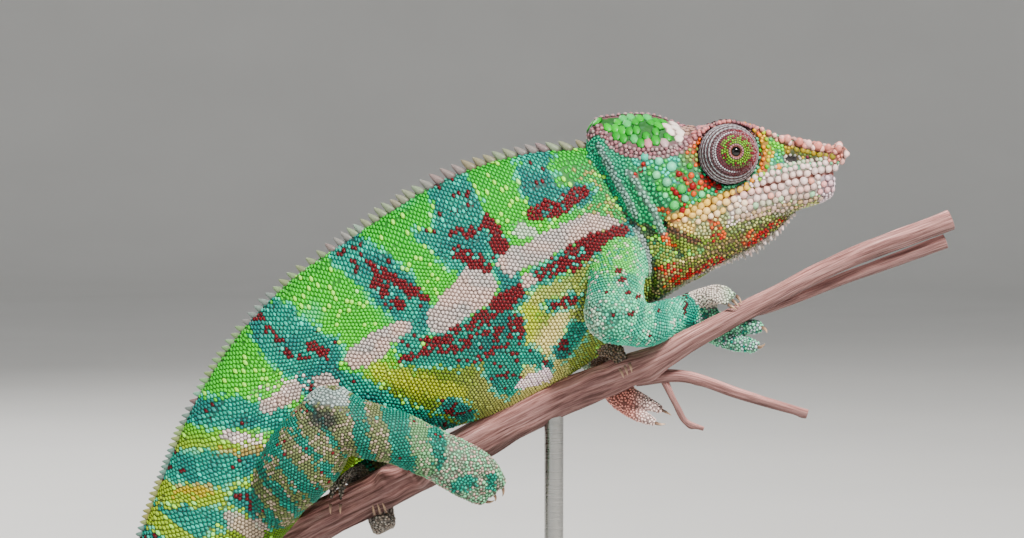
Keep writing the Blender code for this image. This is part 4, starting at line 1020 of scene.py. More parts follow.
def hind_leg_colours(x, z, number, chance, ragged, near_side):
    """Pigment of places on a hind leg: tan with slanting teal stripes, and a pale foot."""
    slant = 0.79 * x + 0.61 * z
    shift = 0.0 if near_side else 3.0
    c = mixed(pigment("tan"), pigment("olive"), rise(118, 104, z) * 0.15)
    c = mixed(c, pigment("mint"), rise(-34, -20, x) * 0.4)
    c = mixed(c, pigment("moss"), 0.3 * dapple(np.stack([x, 0 * x, z], 1), 3.0, 61))
    tint(c, chance < 0.24, pigment("blush"), 0.5)
    thigh = [np.abs(slant + shift - q) - w
             for q, w in ((24.6, 1.9), (31.4, 1.3), (37.4, 0.7), (18.0, 1.3), (11.6, 1.2))]
    thigh = np.min([*thigh, reach_of(x, z, (-56.0, 121.8, 1.4, -62.0, 112.0, 2.0))], axis=0)
    shank = np.min([np.abs(x + 0.18 * (z - 118) + shift - q) - w
                    for q, w in ((-36.4, 1.9), (-27.6, 2.9), (-18.2, 1.8))], axis=0)
    teal = (np.where(number == 0, thigh, shank) + 1.1 * ragged < 0) & (number < 2)
    c[teal] = pigment("teal") * 0.7
    c[teal & (chance > 0.88)] = pigment("turquoise") * 0.6
    c = c * 0.86
    knee = reach_of(x, z, (-49.0, 128.4, 2.0, -41.6, 127.6, 2.0)) + 0.6 * ragged < 0
    tint(c, knee, pigment("mist"), 0.75)
    shadow = rise(2.8, 0.0, reach_of(x, z, (-47.2, 122.6, 0.9, -44.8, 122.2, 0.9)) + 0.5 * ragged)
    c = mixed(c, pigment("deep_teal") * 0.2 + pigment("plum") * 0.2, 0.85 * shadow)
    foot = number >= 2
    tint(c, foot, pigment("ash") * 0.8, 0.6)
    tint(c, foot & (chance > 0.6), pigment("mint"), 0.5)
    c[foot & (chance < 0.2)] = pigment("blush") * 0.7
    patches = [(-13.6, 105.2, 1.7, -10.6, 106.4, 1.9), (-5.4, 104.2, 1.0, -4.6, 107.0, 1.2)]
    c[foot & (reach_of_all(x, z, patches) + 0.7 * ragged < 0)] = pigment("teal")
    c[(number < 2) & (chance > 0.99)] = pigment("red")
    # Painted shade: on the far side the foot is painted dark earth and ash, for the shade it lies in.
    if not near_side:
        c[foot] = mixed(pigment("earth"), pigment("ash"), 0.3 + 0.5 * chance[foot])
    return c


def foreleg_colours(x, z, number, chance, ragged, near_side):
    """Pigment of places on a foreleg: mint to teal, with two dark bands, red spots and a pale hand."""
    c = mixed(pigment("mint") * 0.85, pigment("turquoise"), 0.2 + rise(150, 140, z) * 0.35)
    c = mixed(c, pigment("lime") * 0.6 + pigment("leaf") * 0.3, rise(152, 160, z) * rise(33, 28, x) * 0.8)
    c = mixed(c, pigment("pearl"), rise(24, 19, x) * rise(156, 148, z) * 0.4)
    c = mixed(c, pigment("turquoise"), rise(32, 42, x) * 0.4)
    clouded = rise(0.5, 0.66, dapple(np.stack([x, 0 * x, z], 1), 4.0, 67))
    c = mixed(c, pigment("teal"), 0.65 * clouded * (number < 2))
    tint(c, chance < 0.12, pigment("pearl"), 0.5)
    banded = (chance > 0.8) & (number < 2) | (np.abs(x - 36.4) + 0.7 * ragged < 1.8)
    banded |= np.abs(x - 31.4 - 0.3 * (z - 148)) + ragged < 0.8
    tint(c, banded, pigment("teal"), 0.75)
    reds = np.min([np.hypot((x - a) * 0.8 + (z - b) * 0.3, (z - b) * 1.6 - (x - a) * 0.4)
                   for a, b in ARM_SPOTS], axis=0)
    c[reds < 0.6 + 0.4 * ragged] = pigment("red") * 0.8
    wrist = number == 1
    c[wrist & (np.abs(x - 44.6 + 0.4 * ragged) < 1.5)] = pigment("teal")
    c[wrist & (np.abs(x - 43.0) < 0.7) & (z > 147) & (chance < 0.6)] = pigment("red") * 0.5
    tint(c, wrist & (x > 46.4), pigment("mint") * 0.7, 0.7)
    inner, outer = number == 3, number == 2
    c[inner] = mixed(pigment("pearl") * 0.85, pigment("mint"), rise(50, 56, x[inner]) * 0.5 + 0.1)
    tint(c, outer, pigment("mint") * 0.7 + pigment("mist") * 0.25, 0.9)
    c[outer & (chance < 0.1)] = pigment("teal") * 0.8
    c[outer & (chance > 0.7)] = pigment("mist")
    # On the far side the hand's outer bundle is salmon to pearl, and its inner bundle is painted dark earth
    # and ash as shade.
    if not near_side:
        c[outer] = mixed(pigment("salmon"), pigment("pearl"), 0.15 + rise(29, 34, x[outer]) * 0.7)
        c[inner] = mixed(pigment("earth"), pigment("ash"), 0.4 * chance[inner])
    return c


def coat_colours(points, seed):
    """Linear colour of the coat at points on the skin."""
    draw = np.random.default_rng(seed)
    x, y, z = points.T
    part, share, height, _ = skin_places(points)
    chance = draw.random(len(x))
    ragged = dapple(points, 2.2, 11) * 1.6 - 0.8 + draw.normal(0, 0.42, len(x))
    low = height + 0.1 * ragged
    patchy = dapple(points, 7.0, 3)
    c = mixed(pigment("leaf"), pigment("lime"), rise(0.8, 0.1, low) * (0.06 + 0.5 * patchy))
    c = mixed(c, pigment("turquoise"), rise(0.35, 0.0, patchy) * 0.5)
    c = mixed(c, pigment("lime"), rise(-20, -70, x) * 0.35)
    c = mixed(c, pigment("fern"), rise(0.72, 0.95, height) * 0.35)
    rump = rise(122, 112, z) * rise(-58, -66, x)
    c = mixed(c, pigment("olive") * 0.6 + pigment("amber") * 0.35, rump * 0.6)
    c = mixed(c, pigment("olive"), rise(-0.1, -0.4, low) * rise(0.56, 0.4, share))
    c = mixed(c, pigment("cream"), rise(-0.3, -0.75, low) * 0.6 * rise(-22, 8, x))
    yellow = [(4.4, 150.0, 3.4, 2.6, 138.0, 2.6), (-34.0, 133.8, 2.4, -14.0, 127.0, 3.0)]
    yellow = reach_of_all(x, z, yellow) + ragged * 1.2
    c = mixed(c, pigment("amber") * 0.5 + pigment("lime") * 0.5, rise(1.5, -1.5, yellow) * 0.75)
    khaki = reach_of(x, z, (6.0, 152.0, 2.6, 22.0, 156.5, 3.4)) + ragged
    c = mixed(c, pigment("cream") * 0.35 + pigment("olive") * 0.6, rise(1.5, -1.5, khaki) * 0.85)
    peach = reach_of(x, z, (9.0, 141.0, 3.0, 17.0, 150.0, 4.0)) + ragged
    c = mixed(c, pigment("cream"), rise(2, -2, peach) * 0.8)
    # Painted shade: behind the shoulder the lower flanks and belly are darkened by up to 30 per cent.
    c *= 1 - 0.3 * (rise(-0.1, -0.5, low) * rise(6, -8, x))[:, None]
    # Neck.
    neck = rise(10, 20, x) * rise(0.95, 0.7, height) * (part == BODY)
    c = mixed(c, pigment("leaf") * 0.35 + pigment("teal") * 0.45, neck * 0.7)
    sandy = (neck > 0.4) & (chance < 0.2 + 0.55 * rise(0.5, -0.2, height))
    c[sandy] = mixed(pigment("cream") * 0.5, pigment("olive"), 0.3 + 0.4 * rise(0.2, -0.3, height[sandy]))
    # Bars, on the trunk by the table and down the tail by its pitch.
    bars = reach_of_all(x, z, [s for stretches in BARS.values() for s in stretches]) + 0.85 * ragged
    along = share * spine_length
    start = np.interp(-BAND_START, -spine[:HANGING_ROWS, 1], spine_share[:HANGING_ROWS]) * spine_length
    ring = np.abs((along - start + BAND_PITCH / 2) % BAND_PITCH - BAND_PITCH / 2) - 3.4
    bars = np.where(along > start + 5, ring + 0.6 * ragged, bars)
    teal = mixed(pigment("teal"), pigment("deep_teal"), rise(0.3, 0.7, dapple(points, 5.0, 23)) * 0.7)
    tint(teal, chance > 0.93, pigment("turquoise"), 0.6)
    c = np.where((bars < 0)[:, None], teal, c)
    tint(c, (bars >= 0) & (bars < 1.1) & (chance < 0.5), pigment("turquoise"), 0.7)
    # Red threads and crumbs in the bars.
    threads = np.abs(dapple(points * (1, 0, 1), 3.1, 31) - 0.5) < 0.07
    in_flank = reach_of_all(x, z, BARS["flank"][:4] + BARS["spots"]) < -0.4
    c[in_flank & (bars < 0)] *= 0.72
    c[threads & in_flank & (chance < 0.6)] = pigment("red") * 0.8
    crumbs = (dapple(points * (1, 0, 1), 1.5, 37) > 0.8) & (bars < -0.8) & (x > -70) & (chance < 0.8)
    c[crumbs] = pigment("red") * 0.8
    crumbs = (dapple(points, 1.5, 41) > 0.74) & (bars < -0.4) & (height > 0.62) & (chance < 0.7)
    c[crumbs] = pigment("red") * 0.6
    # The pinkish line and other pale places.
    blotch = reach_of_all(x, z, BLOTCHES) + 0.55 * ragged < 0
    pink = mixed(pigment("blush"), pigment("mist"), rise(0.35, 0.7, dapple(points, 4.0, 53)) * 0.6)
    c[blotch] = mixed(pink, pigment("pearl"), 0.4 * chance)[blotch] * 0.78
    pale = reach_of(x, z, (2.2, 168.4, 1.8, 5.0, 167.2, 1.5)) + 0.8 * ragged < 0
    tint(c, pale, pigment("pearl") * 0.6 + pigment("turquoise") * 0.3, 0.75)
    pale = reach_of(x, z, (-70.0, 97.4, 1.5, -64.0, 93.6, 3.0)) + ragged < 0
    tint(c, pale, pigment("blush") * 0.8, 0.7)
    golden = [(-72.0, 113.4, 0.9, -61.0, 114.0, 1.6), (-84.0, 103.0, 0.8, -76.0, 103.4, 1.4)]
    tint(c, reach_of_all(x, z, golden) + ragged < 0, pigment("amber") * 0.6, 0.6)
    beaded = [(-71.0, 117.0, 1.2, -60.0, 116.4, 2.0), (-64.0, 127.0, 2.0, -52.0, 131.0, 2.0)]
    c[(reach_of_all(x, z, beaded) + ragged < 0) & (chance < 0.3)] = pigment("pearl")
    # Red clusters, then the folds, the head and the legs.
    for *stretch, amount in RED_BANDS:
        c[(reach_of(x, z, stretch) + 0.45 * ragged < 0.3) & (chance < amount + 0.05)] = pigment("red")
    lilac = reach_of(x, z, (2.6, 129.6, 1.4, 8.0, 131.8, 1.9)) + 0.6 * ragged < 0
    c[lilac] = mixed(pigment("lilac"), pigment("pearl"), chance[lilac])
    # Painted shade: the scales and skin in the folds' grooves are tinted dark teal.
    for line, _, _ in FOLDS:
        away, _ = to_line(x, z, line)
        tint(c, (away < 0.9) & (part < LIMB), pigment("deep_teal") * 0.4, 0.75)
    head = (part > BODY) & (part < LIMB)
    if head.any():
        c[head] = head_colours(x[head], y[head], z[head], chance[head], ragged[head], part[head])
    for line, _, _ in RIDGES:
        away, _ = to_line(x, z, line)
        tint(c, (away < 0.8) & (part < LIMB), pigment("mist") * 0.8, 0.6)
    for number, limb in enumerate(LIMBS):
        length = part - LIMB - PER_LIMB * number
        on = (length >= 0) & (length < PER_LIMB)
        limb_colours = hind_leg_colours if "leg" in limb else foreleg_colours
        if on.any():
            c[on] = limb_colours(x[on], z[on], length[on], chance[on], ragged[on], "right" in limb)
    return c


hide, tree, shader = new_finish("hide_between_scales")
tree.links.new(carried(tree, "pigment"), shader.inputs["Base Color"])
wrinkle = noise(tree, 900.0, 4.0)
roughness(tree, shader, wrinkle, [(0.3, 0.8), (0.7, 0.55)])
relief(tree, shader, wrinkle, 0.0002, 0.6)

# The hide's colour is the coat's pigment times 0.28: painted shade in the gaps between the scales, over a
# hide that is darker than its scales.
skin_colours = coat_colours(skin_points, 5) * 0.28
skin = new_piece("skin", skin_points, [skin_faces], hide, skin_colours)
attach(skin, "root")
flesh = [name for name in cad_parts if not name.startswith(("perch", "stand", "eye", "claw"))]
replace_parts(skin, *flesh)

# -------------------------------------------------------------------------------------- the scales
# Small domed scales of keratin cover the skin side by side, each rooted in it. Some on the flanks are
# larger tubercles, those near the back are long across the body, and the feet's are the finest.

PIECE_LIMIT = 180000  # triangles in one piece of the coat
DOME = [(0.7, 0.66), (1.0, -0.3)]  # rings of a dome below its top: reach and height as shares
DOME_TRIANGLES = 6 + 12 + 4  # round the top, round the side and in the foot
FINE_DOME = [(0.42, 0.9), (0.78, 0.52), (1.0, -0.2)]


def scale_sizes(points):
    """Radius of the scales wanted at points, and how long they are across the body as a ratio."""
    x, _, z = points.T
    part, share, height, depth = skin_places(points)
    upper = rise(0.35, 0.8, height + 0.55 * rise(0.34, 0.46, share)) * (part == BODY) * rise(26, 14, x)
    radius = np.where(part == BODY, 0.49 * np.clip(depth / 14, 0.12, 1) ** 0.4, 0.42)
    radius = radius * (1 - 0.15 * rise(-0.6, -0.95, height) * (part == BODY)) * (1 - 0.15 * upper)
    radius = radius * (1 - 0.1 * rise(10, 20, x) * (part == BODY))
    _, _, crest_z, *_, mouth = at_slices(HEAD, x)
    head = part == SKULL
    radius = np.where(head, 0.45, radius)
    radius = np.where(head & (x < 50) & (x > 31) & (z < crest_z - 2), 0.5, radius)  # temple
    roof = head & (z > crest_z - 0.2) & (x < 42)
    radius = np.where(roof, 0.86, radius)
    radius = np.where(head & (z > crest_z - 0.4) & (x >= 42), 0.75, radius)  # forehead
    radius = np.where(head & (x > 60) & (z > crest_z - 1.2), 0.78, radius)  # snout's ridge
    radius = np.where(head & (x > 76), np.minimum(radius, 0.6), radius)  # snout's end
    radius = np.where(head & (x < 31) & (z < crest_z - 2.4), 0.42, radius)  # casque's side
    radius = np.where(part == JAWS, 0.42 + 0.2 * rise(6, 1.5, mouth - z) * rise(40, 54, x), radius)
    radius = np.where(part == GULAR, 0.4, radius)
    limb, length = np.divmod(part - LIMB, PER_LIMB)
    radius = np.where((limb == 0) | (limb == 1), np.array([0.44, 0.43, 0.37, 0.35])[length], radius)
    radius = np.where(limb >= 2, np.array([0.4, 0.39, 0.33, 0.32])[length], radius)
    return radius, 1 + 0.9 * upper + 0.5 * roof


def near_pairs(points, reach):
    """Index pairs of points closer than about `reach`: points sorted into cubes of that side, and each
    point matched with those of its own cube and of half the cubes around, found by binary search."""
    cell = np.floor((points - points.min(0)) / reach).astype(np.int64) + 1
    size = cell.max(0) + 2
    key = (cell[:, 0] * size[1] + cell[:, 1]) * size[2] + cell[:, 2]
    order = np.argsort(key, kind="stable")
    ordered = key[order]
    rank = np.arange(len(points))
    ahead = [(i, j, k) for i in (-1, 0, 1) for j in (-1, 0, 1) for k in (-1, 0, 1) if (i, j, k) > (0, 0, 0)]
    first, second = [], []
    for step in [(0, 0, 0), *ahead]:
        wanted = ordered + (step[0] * size[1] + step[1]) * size[2] + step[2]
        start = np.searchsorted(ordered, wanted, "left")
        end = np.searchsorted(ordered, wanted, "right")
        if step == (0, 0, 0):
            start = rank + 1
        for k in range(int((end - start).max())):
            found = np.nonzero(start + k < end)[0]
            first.append(found)
            second.append(start[found] + k)
    first, second = order[np.concatenate(first)], order[np.concatenate(second)]
    close = ((points[first] - points[second]) ** 2).sum(1) < reach * reach
    return first[close], second[close]


def across_body(points, normals):
    """The direction on the skin that runs from belly to back, square to the spine."""
    share = skin_places(points)[1]
    heading = np.stack([np.interp(share, spine_share, spine_heading[:, k]) for k in (0, 1)], 1)
    up = np.stack([heading[:, 1], 0 * share, -heading[:, 0]], 1)
    over = up - normals * (up * normals).sum(1, keepdims=True)
    flat = np.linalg.norm(over, axis=1) < 0.2
    ahead = np.column_stack([heading[flat, 0], 0 * share[flat], heading[flat, 1]])
    over[flat] = np.cross(normals[flat], ahead)
    return unit(over)


def rows_over(place, starts, turns):
    """Roots in staggered rows over one form, whose `place` gives points for shares along it and turns round
    it. Between each pair of starts and of turns there are as many rows, and scales in each, as fit there."""
    made = []
    for first, last in zip(starts[:-1], starts[1:]):
        for low, high in zip(turns[:-1], turns[1:]):
            along, turn = 0.5 * (first + last), 0.5 * (low + high)
            spots = np.array([(first, turn), (last, turn), (along, low), (along, high), (along, turn)])
            span = place(*spots.T)
            long, wide = np.linalg.norm(span[1] - span[0]), np.linalg.norm(span[3] - span[2])
            radius, stretch = scale_sizes(span[4:])
            rows = 2 * max(1, round(long / (2 * math.sqrt(3) * radius[0])))
            each = max(1, round(wide / (2 * radius[0] * stretch[0])))
            i, j = (a.ravel() for a in np.meshgrid(np.arange(rows), np.arange(each), indexing="ij"))
            made.append(place(first + (last - first) * (i + 0.5) / rows,
                              low + (high - low) * (j + 0.5 + 0.5 * (i % 2)) / each))
    return np.concatenate(made)


def on_body(share, turn):
    """Points on the body's own round form: the middle of the back is a quarter turn, the belly three."""
    x, z, deep, wide = (np.interp(share, spine_share, spine[:, k]) for k in range(4))
    ahead_x, ahead_z = (np.interp(share, spine_share, spine_heading[:, k]) for k in (0, 1))
    up, out = np.sin(turn), np.cos(turn)
    up = np.sign(up) * np.abs(up) ** (1 / 1.1)
    out = np.sign(out) * np.abs(out) ** 1.2 * wide * np.maximum(1 - 0.2 * up, 0.55)
    return np.stack([x + ahead_z * deep * up, out, z - ahead_x * deep * up], 1)


def on_tube(line):
    """A function like on_body for a limb's length, from the rows of its middle line."""
    line = through(line, 60)
    ahead = unit(np.gradient(line[:, :3], axis=0))
    side = unit(np.cross(ahead, (0.0, 1.0, 0.0)))
    third = np.cross(ahead, side)
    at = np.linspace(0, 1, 60)

    def place(share, turn):
        """Points at shares of the length and turns round it."""
        middle, east, north = (np.stack([np.interp(share, at, a[:, k]) for k in range(3)], 1)
                               for a in (line, side, third))
        out = east * np.cos(turn)[:, None] + north * np.sin(turn)[:, None]
        return middle + out * np.interp(share, at, line[:, 3])[:, None]

    return place


def apart(points, over, stretch, first, second):
    """The way between the points of each pair, measured shorter along the way that the scales are long."""
    off = points[first] - points[second]
    long = 0.5 * (stretch[first] + stretch[second])[:, None]
    off = off - over[first] * (off * over[first]).sum(1, keepdims=True) * (1 - 1 / long)
    return off, np.linalg.norm(off, axis=1)


def thinned(points, radius, stretch, least):
    """Which roots stay when each closer to an earlier one that stays than `least` of their radii goes. An
    odd number of rounds leaves no close pair: each round drops what lies close to the last round's."""
    over = across_body(points, onto_skin(points)[1])
    first, second = near_pairs(points, 1.6)
    _, away = apart(points, over, stretch, first, second)
    close = away < least * (radius[first] + radius[second])
    early, late = np.minimum(first, second)[close], np.maximum(first, second)[close]
    stays = np.ones(len(points), bool)
    for _ in range(13):
        dropped = late[stays[early]]
        stays = np.ones(len(points), bool)
        stays[dropped] = False
    return stays


def spread_roots(points, radius, stretch, kept, rounds):
    """Roots moved apart until scales of their sizes lie side by side: each pair closer than its two radii
    pushes itself apart by half of what it lacks, and the kept ones stand still. Each radius is then scaled
    by the mean ratio of what its nearest neighbours are away to what they want."""
    for turn in range(rounds + 1):
        points, normals = onto_skin(points, 1 if turn < rounds else 2)
        over = across_body(points, normals)
        first, second = near_pairs(points, 2.3)
        off, away = apart(points, over, stretch, first, second)
        want = radius[first] + radius[second]
        if turn == rounds:
            break
        push = np.clip(want * 1.04 - away, 0, None) * 0.42
        move = off / np.maximum(away, 1e-3)[:, None] * push[:, None]
        both = move * np.where(kept[second], 2, 1)[:, None], move * np.where(kept[first], 2, 1)[:, None]
        for axis in range(3):
            points[:, axis] += np.where(kept, 0, np.bincount(first, both[0][:, axis], len(points)))
            points[:, axis] -= np.where(kept, 0, np.bincount(second, both[1][:, axis], len(points)))
    ends = np.concatenate([first, second])
    ratio = np.tile(away / want, 2)
    ends, ratio = ends[ratio < 1.3], ratio[ratio < 1.3]
    mean = np.bincount(ends, ratio, len(points)) / np.maximum(np.bincount(ends, minlength=len(points)), 1)
    fitted = radius * np.where(mean > 0, np.clip(mean, 0.82, 1.18), 1)
    return points, normals, np.where(kept, radius, fitted)


def from_outside(x, z, side):
    """Points on the skin at places x, z of the middle plane, met first from one side, -1 right or 1 left."""
    i = np.clip(np.rint((x - GRID_LOW[0]) / GRID_STEP).astype(int), 0, len(gx) - 1)
    k = np.clip(np.rint((z - GRID_LOW[2]) / GRID_STEP).astype(int), 0, len(gz) - 1)
    columns = field[i, :, k] < 0
    first = np.argmax(columns, 1) if side < 0 else len(gy) - 1 - np.argmax(columns[:, ::-1], 1)
    return np.stack([x, gy[first], z], 1)


def bead_row(line, pitch, side):
    """Places spaced evenly along a chain of x, z places, met from one side."""
    line = np.array(line, float)
    reach = np.concatenate([[0], np.cumsum(np.linalg.norm(np.diff(line, axis=0), axis=1))])
    at = np.arange(pitch / 2, reach[-1], pitch)
    return from_outside(np.interp(at, reach, line[:, 0]), np.interp(at, reach, line[:, 1]), side)


# The larger scales of the head keep their places: lips, temple, brow, snout and the casque's rim.
fixed_points, fixed_radius, fixed_rise, fixed_names = [], [], [], []


def fix(points, radius, rise_by, name):
    """Adds beads that keep their places: their radius, how far they stand up, and their kind."""
    fixed_points.append(points)
    fixed_radius.append(np.full(len(points), radius))
    fixed_rise.append(np.full(len(points), rise_by))
    fixed_names.extend([name] * len(points))


LIP_ROWS = [  # height over the mouth's line, pitch, radius, rise, first and last station, kind
    (1, 1.75, 0.98, 0.62, 0, 28, "lip_butter"), (1.05, 1.85, 1.04, 0.66, 28, 60, "lip_pearl"),
    (2.55, 1.5, 0.84, 0.52, 26, 55, "lip_pearl"), (3.75, 1.15, 0.62, 0.42, 34, 56, "lip_upper"),
    (-1.1, 1.85, 1.04, 0.64, 4, 24, "jaw_butter"), (-1.1, 1.9, 1.08, 0.68, 24, 53, "jaw_pearl"),
    (-2.75, 1.75, 0.98, 0.58, 8, 26, "jaw_butter"), (-2.8, 1.8, 1.02, 0.6, 26, 52, "jaw_pearl"),
    (-4.35, 1.6, 0.9, 0.5, 22, 51, "jaw_green"), (-5.75, 1.35, 0.76, 0.42, 22, 54, "jaw_lower"),
    (-6.95, 1.15, 0.62, 0.36, 24, 48, "jaw_lower"), (-1.05, 1.7, 0.92, 0.6, 53, 60, "jaw_tip"),
    (-2.6, 1.6, 0.88, 0.55, 52, 60, "jaw_tip"), (-4.1, 1.5, 0.82, 0.5, 51, 59, "jaw_tip"),
]
TEMPLE = [  # x, z, radius, kind
    (32.6, 186.2, 1.15, "temple_blue"), (36.2, 185.2, 1.3, "temple_blue"), (35.3, 181.8, 1.2, "temple_pale"),
    (39.2, 183.6, 1.35, "temple_blue"), (38, 179.8, 1.4, "temple_pale"), (41.9, 178.4, 1.45, "temple_green"),
    (39.8, 174.4, 1.4, "temple_green"), (46.7, 176.9, 1.15, "temple_green"),
    (42.6, 175.6, 1.05, "temple_pale"), (41.2, 181.6, 0.95, "temple_red"), (40.2, 177.4, 0.9, "temple_red"),
    (44.4, 179, 0.95, "temple_red"), (41.8, 173.2, 0.85, "temple_red"), (50.8, 178.5, 0.8, "temple_red"),
    (44, 181.4, 0.95, "temple_orange"), (46.2, 179.8, 0.9, "temple_orange"),
    (44.6, 177, 0.8, "temple_orange"), (43.8, 183.8, 0.9, "temple_green"),
    (36.2, 178.4, 0.85, "temple_green"), (37.6, 176.6, 0.8, "temple_green"),
    (66, 183.8, 0.85, "snout_amber"),
]
EDGE_ROWS = [  # from x to x, depth under the crest, pitch, radius, rise, kind
    (19.6, 43, 0.2, 1.15, 0.6, 0.5, "rim"), (20, 44, 1.2, 1.15, 0.58, 0.45, "rim"),
    (21, 44, 2.2, 1.15, 0.56, 0.4, "rim"), (43.5, 62, 0.3, 1.25, 0.66, 0.6, "brow"),
    (44, 61, 1.35, 1.15, 0.6, 0.42, "brow"), (62, 67.5, 0.2, 1.7, 0.85, 0.9, "snout"),
    (68.6, 81.4, -0.1, 2.5, 1.32, 1.6, "snout"), (67, 81, 1.4, 1.9, 0.95, 0.8, "snout"),
    (70.5, 80.5, 2.8, 1.5, 0.8, 0.4, "ridge_gold"),
]
lip_x = np.linspace(39, 81.6, 60)
*_, lip_z = at_slices(HEAD, lip_x)
for side in (-1, 1):
    for above, pitch, radius, height, first, last, name in LIP_ROWS:
        fix(bead_row(np.stack([lip_x, lip_z + above], 1)[first:last], pitch, side), radius, height, name)
    for x, z, radius, name in TEMPLE:
        fix(from_outside(np.array([x]), np.array([z]), side), radius, radius * 0.5, name)
    for first, last, below, pitch, radius, height, name in EDGE_ROWS:
        x = np.arange(first, last, pitch)
        _, crest_y, crest_z, *_ = at_slices(HEAD, x)
        fix(np.stack([x, crest_y * side, crest_z - below], 1), radius, height, name)
    ring = np.arange(11) * 2 * math.pi / 11
    ring_x, ring_z = NOSTRIL[0] + 2.2 * np.cos(ring), NOSTRIL[1] + 1.25 * np.sin(ring)
    fix(from_outside(ring_x, ring_z, side), 0.42, 0.4, "nostril")
    ring = np.radians(np.arange(-62, 66, 10.5))
    for reach, name in ((8.55, "eye_amber"), (9.6, "eye_gold")):
        ring_x = EYE["centre"][0] + reach * np.cos(ring) + 0.4
        fix(from_outside(ring_x, EYE["centre"][2] + reach * np.sin(ring), side), 0.6, 0.45, name)
x = np.arange(20.5, 43, 1.5)
roof_z, *_ = at_slices(HEAD, x)
fix(np.stack([x, 0 * x, roof_z + 0.3], 1), 0.7, 0.6, "rim")
x = np.arange(-1.5, 2.0, 1.5)
for ahead, z, spread in ((82.6, 187.0, 1.6), (82.0, 185.2, 1.3), (81.4, 188.4, 1.4)):
    fix(np.stack([ahead + 0 * x, x * spread, z + 0 * x], 1), 1.0, 1.0, "snout")

FIXED_PIGMENTS = {
    "lip_butter": ("butter", "amber"), "lip_pearl": ("pearl", "blush"), "lip_upper": ("blush", "mint"),
    "jaw_butter": ("butter", "pearl"), "jaw_pearl": ("pearl", "clay"), "jaw_green": ("blush", "mint"),
    "jaw_lower": ("blush", "ochre"), "jaw_tip": ("lilac", "salmon"), "nostril": ("ash", "pearl"),
    "ridge_gold": ("ochre", "moss"), "snout_amber": ("amber", "orange"),
    "temple_blue": ("turquoise", "mint"), "temple_pale": ("mint", "lime"), "temple_green": ("leaf", "mint"),
    "temple_red": ("scarlet", "red"), "temple_orange": ("orange", "scarlet"), "rim": ("mauve", "ash"),
    "brow": ("mauve", "salmon"), "snout": ("salmon", "pearl"), "eye_amber": ("amber", "orange"),
    "eye_gold": ("lime", "amber"),
}
fixed_points = np.concatenate(fixed_points)
fixed_radius, fixed_rise = np.concatenate(fixed_radius), np.concatenate(fixed_rise)
draw = np.random.default_rng(7)
shares = draw.random(len(fixed_names)) * 0.8
fixed_colours = np.array([mixed(*map(pigment, FIXED_PIGMENTS[name]), share**1.5) * (0.72 + 0.36 * share)
                          for name, share in zip(fixed_names, shares)])
astray = draw.normal(0, 0.13, fixed_points.shape)
fixed_points = fixed_points + astray * np.minimum(fixed_radius, 1.0)[:, None]
fixed_radius = fixed_radius * draw.uniform(0.84, 1.1, len(fixed_radius))
fixed_points, _ = onto_skin(fixed_points, 6)

# Roots lie in rows over the body and limbs, and are drawn by area where forms meet and on the head.
starts = np.linspace(0, 1, 27)
rows = [rows_over(on_body, starts, np.radians(np.arange(-90, 271, 22.5)))]
for limb, lengths in LIMBS.items():
    for line in lengths:
        rows.append(rows_over(on_tube(line), np.linspace(0, 1, 3), np.radians(np.arange(0, 361, 60))))
rows = np.concatenate(rows)
landed, _ = onto_skin(rows, 5)
rows = landed[(np.linalg.norm(landed - rows, axis=1) < 1.6) & (np.abs(at_points(field, landed)) < 0.1)]
corners = skin_points[skin_faces]
halves = np.concatenate([corners[:, (0, 1, 2)], corners[:, (0, 2, 3)]])
areas = 0.5 * np.linalg.norm(np.cross(halves[:, 1] - halves[:, 0], halves[:, 2] - halves[:, 0]), axis=1)
wanted, longer = scale_sizes(halves.mean(1))
crowd = np.cumsum(areas / (2 * math.sqrt(3) * wanted**2 * longer) * 2.2)
count = int(crowd[-1])
chosen = np.searchsorted(crowd, (np.arange(count) + draw.random(count)) / count * crowd[-1])
chosen = np.minimum(chosen, len(halves) - 1)
u, v = draw.random(count), draw.random(count)
u, v = np.where(u + v > 1, 1 - u, u), np.where(u + v > 1, 1 - v, v)
a, b, c = (halves[chosen, k] for k in range(3))
drawn = draw.permutation(a + (b - a) * u[:, None] + (c - a) * v[:, None])
roots = np.concatenate([fixed_points, rows, drawn])
radius, stretch = scale_sizes(roots)
kept = np.arange(len(roots)) < len(fixed_points)
radius[kept], stretch[kept] = fixed_radius, 1.0
stays = thinned(roots, radius, stretch, 0.8) | kept
roots, radius, stretch, kept = roots[stays], radius[stays], stretch[stays], kept[stays]
part, _, height, _ = skin_places(roots)
flank = (part == BODY) * rise(0.95, 0.6, height) * rise(-0.95, -0.4, height)
big = (draw.random(len(roots)) < 0.07 * flank + 0.03 * (part == BODY) + 0.06 * (part >= LIMB)) & ~kept
radius = np.where(big, 1.34 * radius, radius)
roots, normals, radius = spread_roots(roots, radius, stretch, kept, 12)

# Each root carries one dome. A piece of the coat is the domes of one region, joined in one mesh.

keratin, tree, shader = new_finish("scale_keratin")
shader.inputs["Specular IOR Level"].default_value = 0.25
clouds = noise(tree, 700.0, 2.0)
paler = ramp(tree, clouds, [(0.3, 0.86), (0.65, 1.0)])
tree.links.new(multiplied(tree, carried(tree, "pigment"), paler), shader.inputs["Base Color"])
roughness(tree, shader, clouds, [(0.3, 0.5), (0.7, 0.34)])
relief(tree, shader, noise(tree, 4200.0, 2.0), 0.00006, 0.5)


